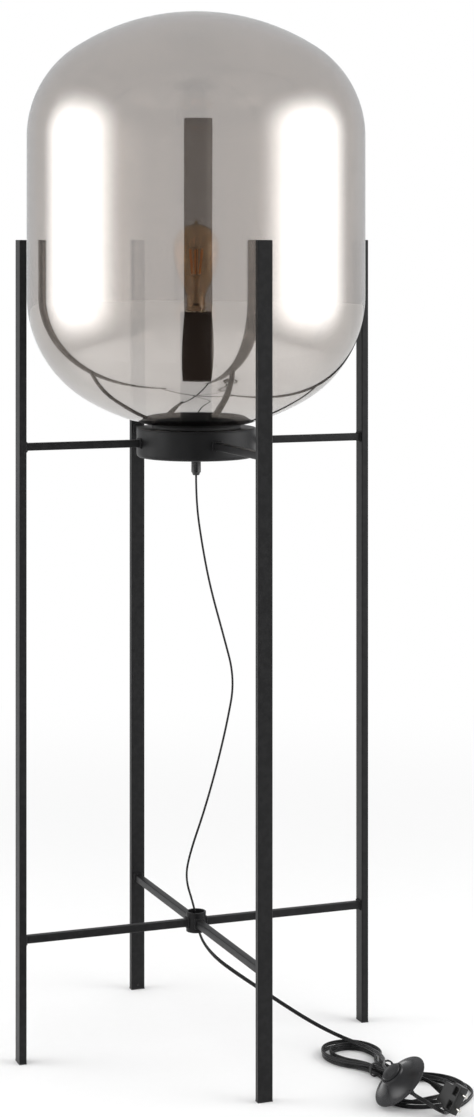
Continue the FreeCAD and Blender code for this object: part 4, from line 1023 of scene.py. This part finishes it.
def weld_tree():
    """A weld: ripples laid close together along each seam, every one a little different."""
    tree, start, end = node_tree("Weld beads", [
        ("Bead", "Float", 0.002), ("Step", "Float", 0.0011), ("Seed", "Int", 7),
        ("Finish", "Material", None)])
    seam = add(tree, "GeometryNodeMeshToCurve", {"Mesh": start["Geometry"]})
    spaced = add(tree, "GeometryNodeResampleCurve", {
        "Curve": seam.outputs[0], "Length": start["Step"]}, mode="LENGTH")
    bead = add(tree, "GeometryNodeMeshIcoSphere", {"Radius": start["Bead"], "Subdivisions": 3})
    turn = add(tree, "FunctionNodeRandomValue", {
        "Min": (-0.5, -0.5, -3.1), "Max": (0.5, 0.5, 3.1), "Seed": start["Seed"]},
        data_type="FLOAT_VECTOR")
    size = add(tree, "FunctionNodeRandomValue", {
        "Min": (0.72, 0.72, 0.72), "Max": (1.08, 1.08, 0.95), "Seed": start["Seed"]},
        data_type="FLOAT_VECTOR")
    beads = add(tree, "GeometryNodeInstanceOnPoints", {
        "Points": spaced.outputs[0], "Instance": bead.outputs[0], "Rotation": turn.outputs[0],
        "Scale": size.outputs[0]})
    finish_tree(tree, beads.outputs[0], start["Finish"], end)
    return tree


def build_bars():
    kit = sizes()
    tree = crossbar_tree()
    for level, height, reach in (("upper", kit.upper_bar, kit.drum_radius - 0.0012),
                                 ("lower", kit.lower_bar, kit.hub_radius - 0.0012)):
        mesh = grown(tree, bpy.data.meshes.new("bars"), {
            "Side": kit.bar_side, "Corner": kit.bar_corner, "Ring": kit.leg_centre,
            "Leg half": kit.leg_deep / 2, "Inner reach": reach, "Height": height,
            "Finish": finishes["black_metal"]})
        names = ["%s_bar_%s" % (level, side) for side in ("right", "back", "left", "front")]
        finished("%s_bars" % level, mesh, [finishes["black_metal"]], "stand",
                 names)


def build_welds():
    """One seam round each end of each crossbar, then the beads along them."""
    kit = sizes()
    points, edges = [], []
    half = kit.bar_side / 2 + 0.0004
    leg_face = kit.leg_centre - kit.leg_deep / 2 - 0.0004
    for height, inner in ((kit.upper_bar, kit.drum_radius), (kit.lower_bar, kit.hub_radius)):
        for k in range(4):
            turn = Matrix.Rotation(math.pi / 2 * k, 3, "Z")
            for reach, curved in ((leg_face, False), (inner + 0.0004, True)):
                first = len(points)
                for y, z in ((-1, -1), (0, -1), (1, -1), (1, 0), (1, 1), (0, 1), (-1, 1),
                             (-1, 0)):
                    across = half * y
                    x = math.sqrt(reach * reach - across * across) if curved else reach
                    points.append(turn @ Vector((x, across, height + half * z)))
                edges += [(first + i, first + (i + 1) % 8) for i in range(8)]
    seams = bpy.data.meshes.new("seams")
    seams.from_pydata(points, edges, [])
    mesh = grown(weld_tree(), seams, {
        "Bead": kit.bead, "Step": kit.bead_step, "Seed": 7, "Finish": finishes["black_metal"]})
    finished("weld_beads", mesh, [finishes["black_metal"]], "stand",
             ["leg_welds", "drum_welds", "hub_welds"], sharp=80.0)


# ------------------------------------------------------------------ foot switch and plug

def build_housing(pose):
    """A flared cover over a shallow base, and two tapered cord bushes."""
    rim = sizes().switch_radius / MM
    seam, well = 33.5, 13.6
    cover = softened([(seam, -1.4, 0), (rim - 0.1, -1.4, 0.3), (rim, -0.5, 0.3),
                      (rim - 0.6, 0.2, 0.4), (37.5, 0.35, 0)])
    cover += bow((37.5, 0.35), (17.0, 12.0), -48.0, 18)[1:]
    cover += softened([(17.0, 12.0, 0), (16.2, 13.0, 0.5), (15.8, 15.5, 0.9),
                       (well, 15.5, 0.4), (well, 10.5, 0)])[1:]
    cover += bow((well, 10.5), (seam, 0.1), 46.0, 12)[1:]
    base = softened([(0, -5.0, 0), (27.5, -5.0, 0), (28.5, -5.6, 0.3), (30.0, -5.0, 0.4),
                     (35.9, -1.7, 0.6), (35.9, -1.45, 0), (0, -1.45, 0)])
    bush = softened([(0, 0, 0), (3.2, 0, 0.2), (3.2, 5.4, 0.4), (2.5, 8.0, 0.5), (0, 8.2, 0)])
    shape = Shape()
    shape.lathe(in_metres(cover), 128, closed=True, pose=pose)
    shape.lathe(in_metres(base), 128, pose=pose)
    for side in (1, -1):
        along = pose @ Matrix.Translation((side * 33 * MM, 0, -2.2 * MM))
        along = along @ Matrix.Rotation(math.radians(90 * side), 4, "Y")
        shape.lathe(in_metres(bush), 32, pose=along)
    piece("switch_housing", shape, [finishes["switch_plastic"]], "stand", "switch_plastic",
          ["switch_cover", "switch_base", "switch_bushes"], sharp=32.0)


def build_button(pose):
    """The domed button that is pressed with the foot."""
    side, shoulder, crown = 13.2, (11.8, 18.8), 20.0
    line = softened([(0, 7.0, 0), (side, 7.0, 0.3), (side, 17.4, 0.8), (*shoulder, 0.7)])
    line += bow(shoulder, (0.0, crown), 58.6, 8)[1:]
    line[-1] = (0.0, crown)
    shape = Shape()
    shape.lathe(in_metres(line), 96, pose=pose)
    piece("pedal_button", shape, [finishes["switch_plastic"]], "button", "switch_plastic",
          ["switch_button"], sharp=32.0)


def build_switch():
    pose = switch_pose()
    build_housing(pose)
    build_button(pose)


def plug_block(pose):
    """The front block and the waist behind it, with a window on each side, softly edged."""
    waist_end, window_start, window_end = 31, 36.5, 42.9
    waist_half, window_in, window_out = 13, 4, 14

    def kept(x, y):
        x, y = x / MM, abs(y) / MM
        if x < waist_end:
            return y < waist_half
        return not (window_start < x < window_end and window_in < y < window_out)

    across = [v * MM for v in (18, 20, waist_end, window_start, window_end, 46)]
    halves = [v * MM for v in (window_in, waist_half, window_out, 17.65)]
    along = [-v for v in reversed(halves)] + halves
    thick = 0.0137
    shape = Shape()
    shape.slab(across, along, kept, -thick / 2, thick / 2, pose=pose)
    mesh = bpy.data.meshes.new("plug")
    mesh.from_pydata(shape.points, [], shape.faces)
    soften(mesh, 0.0016)
    return mesh


def strain_relief(pose):
    """Six ribs that widen from the cord towards the plug."""
    start, pitch = -4.0, 3.8
    outline = [(0.0, start)]
    for rib in range(6):
        low = start + rib * pitch
        size = 3.1 + rib * 0.52
        outline += [(size, low), (size + 0.25, low + 2.2), (size - 0.75, low + 2.5),
                    (size - 0.65, low + 3.6)]
    outline += [(6.2, 18.8), (6.2, 22.0), (0.0, 22.0)]
    shape = Shape()
    shape.lathe(in_metres(outline), 48, pose=pose @ Matrix.Rotation(math.radians(90), 4, "Y"))
    return shape


def build_plug():
    """A moulded plug: ribbed strain relief, waist, front block with two windows, two pins."""
    pose = plug_pose()
    mesh = plug_block(pose)
    relief = strain_relief(pose)
    work = bmesh.new()
    work.from_mesh(mesh)
    corners = [work.verts.new(point) for point in relief.points]
    for face in relief.faces:
        work.faces.new([corners[i] for i in face])
    work.to_mesh(mesh)
    work.free()
    finished("plug", mesh, [finishes["plug_plastic"]], "stand", ["plug_body"],
             sharp=40.0)
    radius, root, end = 2.0, 34.0, 54.0
    pin = softened([(0, root, 0), (radius, root, 0), (radius, end, 0.9), (0, end, 0)])
    pins = Shape()
    for side in (9.0, -9.0):
        place = pose @ Matrix.Translation((0, side * MM, 0))
        place = place @ Matrix.Rotation(math.radians(90), 4, "Y")
        pins.lathe(in_metres(pin), 32, pose=place)
    piece("contact_pins", pins, [finishes["nickel"]], "stand", "nickel", ["plug_pins"])


# ------------------------------------------------------------------ finishes on the rest

def dress_rest():
    """Give every construction part that stays in view the finish of its own slot."""
    slots = {part["node"]: part["material_slot"] for part in frame["record"]["subparts"]}
    for name, node in frame["nodes"].items():
        if node.hide_render:
            continue
        node.data.materials.clear()
        node.data.materials.append(finishes[slots[name]])


# ------------------------------------------------------------------ room

def build_camera():
    """A level camera, shifted down until the whole lamp is in its frame."""
    data = bpy.data.cameras.new("Camera")
    data.sensor_width = 36.0
    data.lens = 78.25
    data.shift_x, data.shift_y = 0.0309, -0.2852
    camera = bpy.data.objects.new("Camera", data)
    camera.location = (-1.149, -3.098, 1.090)
    camera.rotation_euler = (math.radians(90), 0, math.radians(VIEW_TURN))
    bpy.context.scene.collection.objects.link(camera)
    bpy.context.scene.camera = camera
    bpy.context.scene.view_settings.view_transform = "Standard"


def staged(name, points, faces, material):
    mesh = bpy.data.meshes.new(name)
    mesh.from_pydata(points, [], faces)
    mesh.materials.append(material)
    obj = bpy.data.objects.new(name, mesh)
    bpy.context.scene.collection.objects.link(obj)
    return obj


def floor_finish():
    """A pale floor that melts into the white room away from the lamp."""
    material, tree = empty_finish("Floor")
    place = add(tree, "ShaderNodeTexCoord").outputs["Object"]
    away = add(tree, "ShaderNodeVectorMath", {0: place}, operation="LENGTH").outputs["Value"]
    fade = add(tree, "ShaderNodeMapRange", {
        "Value": away, "From Min": 0.5, "From Max": 2.4}, interpolation_type="SMOOTHSTEP")
    seen = add(tree, "ShaderNodeLightPath").outputs["Is Camera Ray"]
    share = math_node(tree, "MULTIPLY", fade.outputs["Result"], seen)
    speck = add(tree, "ShaderNodeTexNoise", {"Vector": place, "Scale": 60.0, "Detail": 3.0})
    shade = mixed(tree, speck.outputs["Fac"], (0.875, 0.875, 0.875), (0.89, 0.89, 0.89))
    matt = add(tree, "ShaderNodeBsdfDiffuse", {"Color": shade})
    white = add(tree, "ShaderNodeEmission", {"Color": (1, 1, 1, 1), "Strength": 1.0})
    both = add(tree, "ShaderNodeMixShader", {
        0: share, 1: matt.outputs[0], 2: white.outputs[0]})
    end_with(tree, both.outputs[0])
    return material


def panel_finish(strength):
    """A soft light panel, brightest in its middle, that shines one way and fades out."""
    material, tree = empty_finish("Light panel")
    place = add(tree, "ShaderNodeUVMap").outputs["UV"]
    parts = add(tree, "ShaderNodeSeparateXYZ", {0: place})
    faded = 0.45
    light = None
    for axis in ("X", "Y"):
        rise, fall = (add(tree, "ShaderNodeMapRange", {
            "Value": parts.outputs[axis], "From Min": edge, "From Max": full},
            interpolation_type="SMOOTHSTEP").outputs["Result"]
            for edge, full in ((0.0, faded), (1.0, 1.0 - faded)))
        both = math_node(tree, "MULTIPLY", rise, fall)
        light = both if light is None else math_node(tree, "MULTIPLY", light, both)
    behind = add(tree, "ShaderNodeNewGeometry").outputs["Backfacing"]
    facing = math_node(tree, "SUBTRACT", 1.0, behind)
    light = math_node(tree, "MULTIPLY", math_node(tree, "POWER", light, 1.6), facing)
    glow = add(tree, "ShaderNodeEmission", {"Color": (1, 1, 1, 1), "Strength": strength})
    clear = add(tree, "ShaderNodeBsdfTransparent")
    both = add(tree, "ShaderNodeMixShader", {0: light, 1: clear.outputs[0], 2: glow.outputs[0]})
    end_with(tree, both.outputs[0])
    return material


def out_and_across(bearing):
    """The level directions out from the lamp at a bearing in degrees, and across it."""
    out = Matrix.Rotation(math.radians(bearing), 3, "Z") @ Vector((1, 0, 0))
    return out, Vector((-out.y, out.x, 0))


def upright_card(name, bearing, distance, half_wide, low, high, material):
    """An upright card that faces the lamp, at a bearing in degrees seen from the lamp."""
    out, side = out_and_across(bearing)
    points = [out * distance + side * s + UP * z
              for s, z in ((half_wide, low), (-half_wide, low), (-half_wide, high),
                           (half_wide, high))]
    card = staged(name, points, [(0, 1, 2, 3)], material)
    layer = card.data.uv_layers.new(name="UV")
    corners = {0: (0, 0), 1: (1, 0), 2: (1, 1), 3: (0, 1)}
    for loop in card.data.loops:
        layer.data[loop.index].uv = corners[loop.vertex_index]
    card.visible_camera = False
    return card


def light_panels():
    """Two tall soft lights, one on each side, which the globe mirrors."""
    distance, low, high = 1.6, -0.2, 2.5
    for name, bearing, half in (("Left panel", 166.0, 1.35), ("Right panel", 329.0, 1.5)):
        upright_card(name, bearing, distance, half, low, high, panel_finish(sizes().panel_light))


def dark_cards():
    """A dark card behind the camera and a runner up to it, seen only in gloss and glass."""
    bearing, near, near_half, far, far_half = 251.0, 0.28, 0.12, 3.9, 0.62
    dark, tree = empty_finish("Dark card")
    paint = add(tree, "ShaderNodeBsdfDiffuse", {"Color": (0.03, 0.022, 0.018, 1)})
    end_with(tree, paint.outputs[0])
    card = upright_card("Dark card", bearing, far, far_half, 0.0, 2.2, dark)
    out, side = out_and_across(bearing)
    ends = ((near, near_half), (far, far_half), (far, -far_half), (near, -near_half))
    runner = staged("Dark runner", [out * reach + side * s + UP * 0.002 for reach, s in ends],
                    [(0, 1, 2, 3)], dark)
    for plate in (card, runner):
        plate.visible_camera = plate.visible_diffuse = False
        plate.visible_shadow = False


def white_room():
    """A world that is plain white behind the lamp and through its glass, and dimmer elsewhere."""
    world = bpy.data.worlds.new("Room")
    world.use_nodes = True
    tree = world.node_tree
    tree.nodes.clear()
    path = add(tree, "ShaderNodeLightPath")
    plain = math_node(tree, "MAXIMUM", path.outputs["Is Camera Ray"],
                      path.outputs["Is Transmission Ray"])
    white = add(tree, "ShaderNodeBackground", {"Color": (1, 1, 1, 1), "Strength": 1.0})
    soft = add(tree, "ShaderNodeBackground", {"Color": (1, 1, 1, 1), "Strength": 0.88})
    dim = add(tree, "ShaderNodeBackground", {
        "Color": (0.97, 0.98, 1, 1), "Strength": sizes().room_light})
    lit = add(tree, "ShaderNodeMixShader", {
        0: path.outputs["Is Glossy Ray"], 1: soft.outputs[0], 2: dim.outputs[0]})
    both = add(tree, "ShaderNodeMixShader", {0: plain, 1: lit.outputs[0], 2: white.outputs[0]})
    out = tree.nodes.new("ShaderNodeOutputWorld")
    tree.links.new(both.outputs[0], out.inputs["Surface"])
    bpy.context.scene.world = world


def build_room():
    reach = 14.0
    staged("Floor", [(-reach, -reach, 0), (reach, -reach, 0), (reach, reach, 0),
                     (-reach, reach, 0)], [(0, 1, 2, 3)], floor_finish())
    light_panels()
    dark_cards()
    white_room()


# ------------------------------------------------------------------ operators and panel

class LAMP_OT_camera(bpy.types.Operator):
    """Set the camera where the picture was taken from."""

    bl_idname = "lamp.camera"
    bl_label = "Camera"

    def execute(self, context):
        build_camera()
        return {"FINISHED"}


class LAMP_OT_finishes(bpy.types.Operator):
    """Mix every finish that the lamp uses."""

    bl_idname = "lamp.finishes"
    bl_label = "Finishes"

    def execute(self, context):
        finishes.update(make_finishes())
        return {"FINISHED"}


class LAMP_OT_cords(bpy.types.Operator):
    """Lay the drop cord, and the lead with its tied hank."""

    bl_idname = "lamp.cords"
    bl_label = "Cords"

    def execute(self, context):
        build_cords()
        build_band()
        return {"FINISHED"}


class LAMP_OT_globe(bpy.types.Operator):
    """Blow the mirrored globe."""

    bl_idname = "lamp.globe"
    bl_label = "Globe"

    def execute(self, context):
        build_globe()
        return {"FINISHED"}


class LAMP_OT_bulb(bpy.types.Operator):
    """Make the bulb and what can be seen in it."""

    bl_idname = "lamp.bulb"
    bl_label = "Bulb"

    def execute(self, context):
        build_bulb()
        return {"FINISHED"}


class LAMP_OT_drum(bpy.types.Operator):
    """Turn the drum, the sleeve, the hub and the cord grip."""

    bl_idname = "lamp.drum"
    bl_label = "Drum, sleeve and hub"

    def execute(self, context):
        build_drum()
        build_sleeve()
        build_hub()
        build_grip()
        return {"FINISHED"}


class LAMP_OT_bars(bpy.types.Operator):
    """Set the crossbars in place and weld them."""

    bl_idname = "lamp.bars"
    bl_label = "Crossbars and welds"

    def execute(self, context):
        build_bars()
        build_welds()
        return {"FINISHED"}


class LAMP_OT_switch(bpy.types.Operator):
    """Make the foot switch and the plug."""

    bl_idname = "lamp.switch"
    bl_label = "Foot switch and plug"

    def execute(self, context):
        build_switch()
        build_plug()
        return {"FINISHED"}


class LAMP_OT_dress(bpy.types.Operator):
    """Give the remaining construction parts their finishes."""

    bl_idname = "lamp.dress"
    bl_label = "Remaining finishes"

    def execute(self, context):
        dress_rest()
        return {"FINISHED"}


class LAMP_OT_room(bpy.types.Operator):
    """Set up the floor, the light panels and the white room."""

    bl_idname = "lamp.room"
    bl_label = "Room"

    def execute(self, context):
        build_room()
        return {"FINISHED"}


STEPS = (LAMP_OT_camera, LAMP_OT_finishes, LAMP_OT_cords, LAMP_OT_globe, LAMP_OT_bulb,
         LAMP_OT_drum, LAMP_OT_bars, LAMP_OT_switch, LAMP_OT_dress, LAMP_OT_room)


class LAMP_PT_panel(bpy.types.Panel):
    """Lists the steps in the order in which they are run."""

    bl_idname = "LAMP_PT_panel"
    bl_label = "Globe floor lamp"
    bl_space_type = "VIEW_3D"
    bl_region_type = "UI"
    bl_category = "Lamp"

    def draw(self, context):
        for step in STEPS:
            self.layout.operator(step.bl_idname)


def register():
    for kind in (LampSizes, *STEPS, LAMP_PT_panel):
        bpy.utils.register_class(kind)
    bpy.types.Scene.lamp_sizes = bpy.props.PointerProperty(type=LampSizes)


def unregister():
    del bpy.types.Scene.lamp_sizes
    for kind in (LAMP_PT_panel, *reversed(STEPS), LampSizes):
        bpy.utils.unregister_class(kind)


def main():
    register()
    for step in STEPS:
        group, action = step.bl_idname.split(".")
        getattr(getattr(bpy.ops, group), action)()


if __name__ == "__main__":
    main()
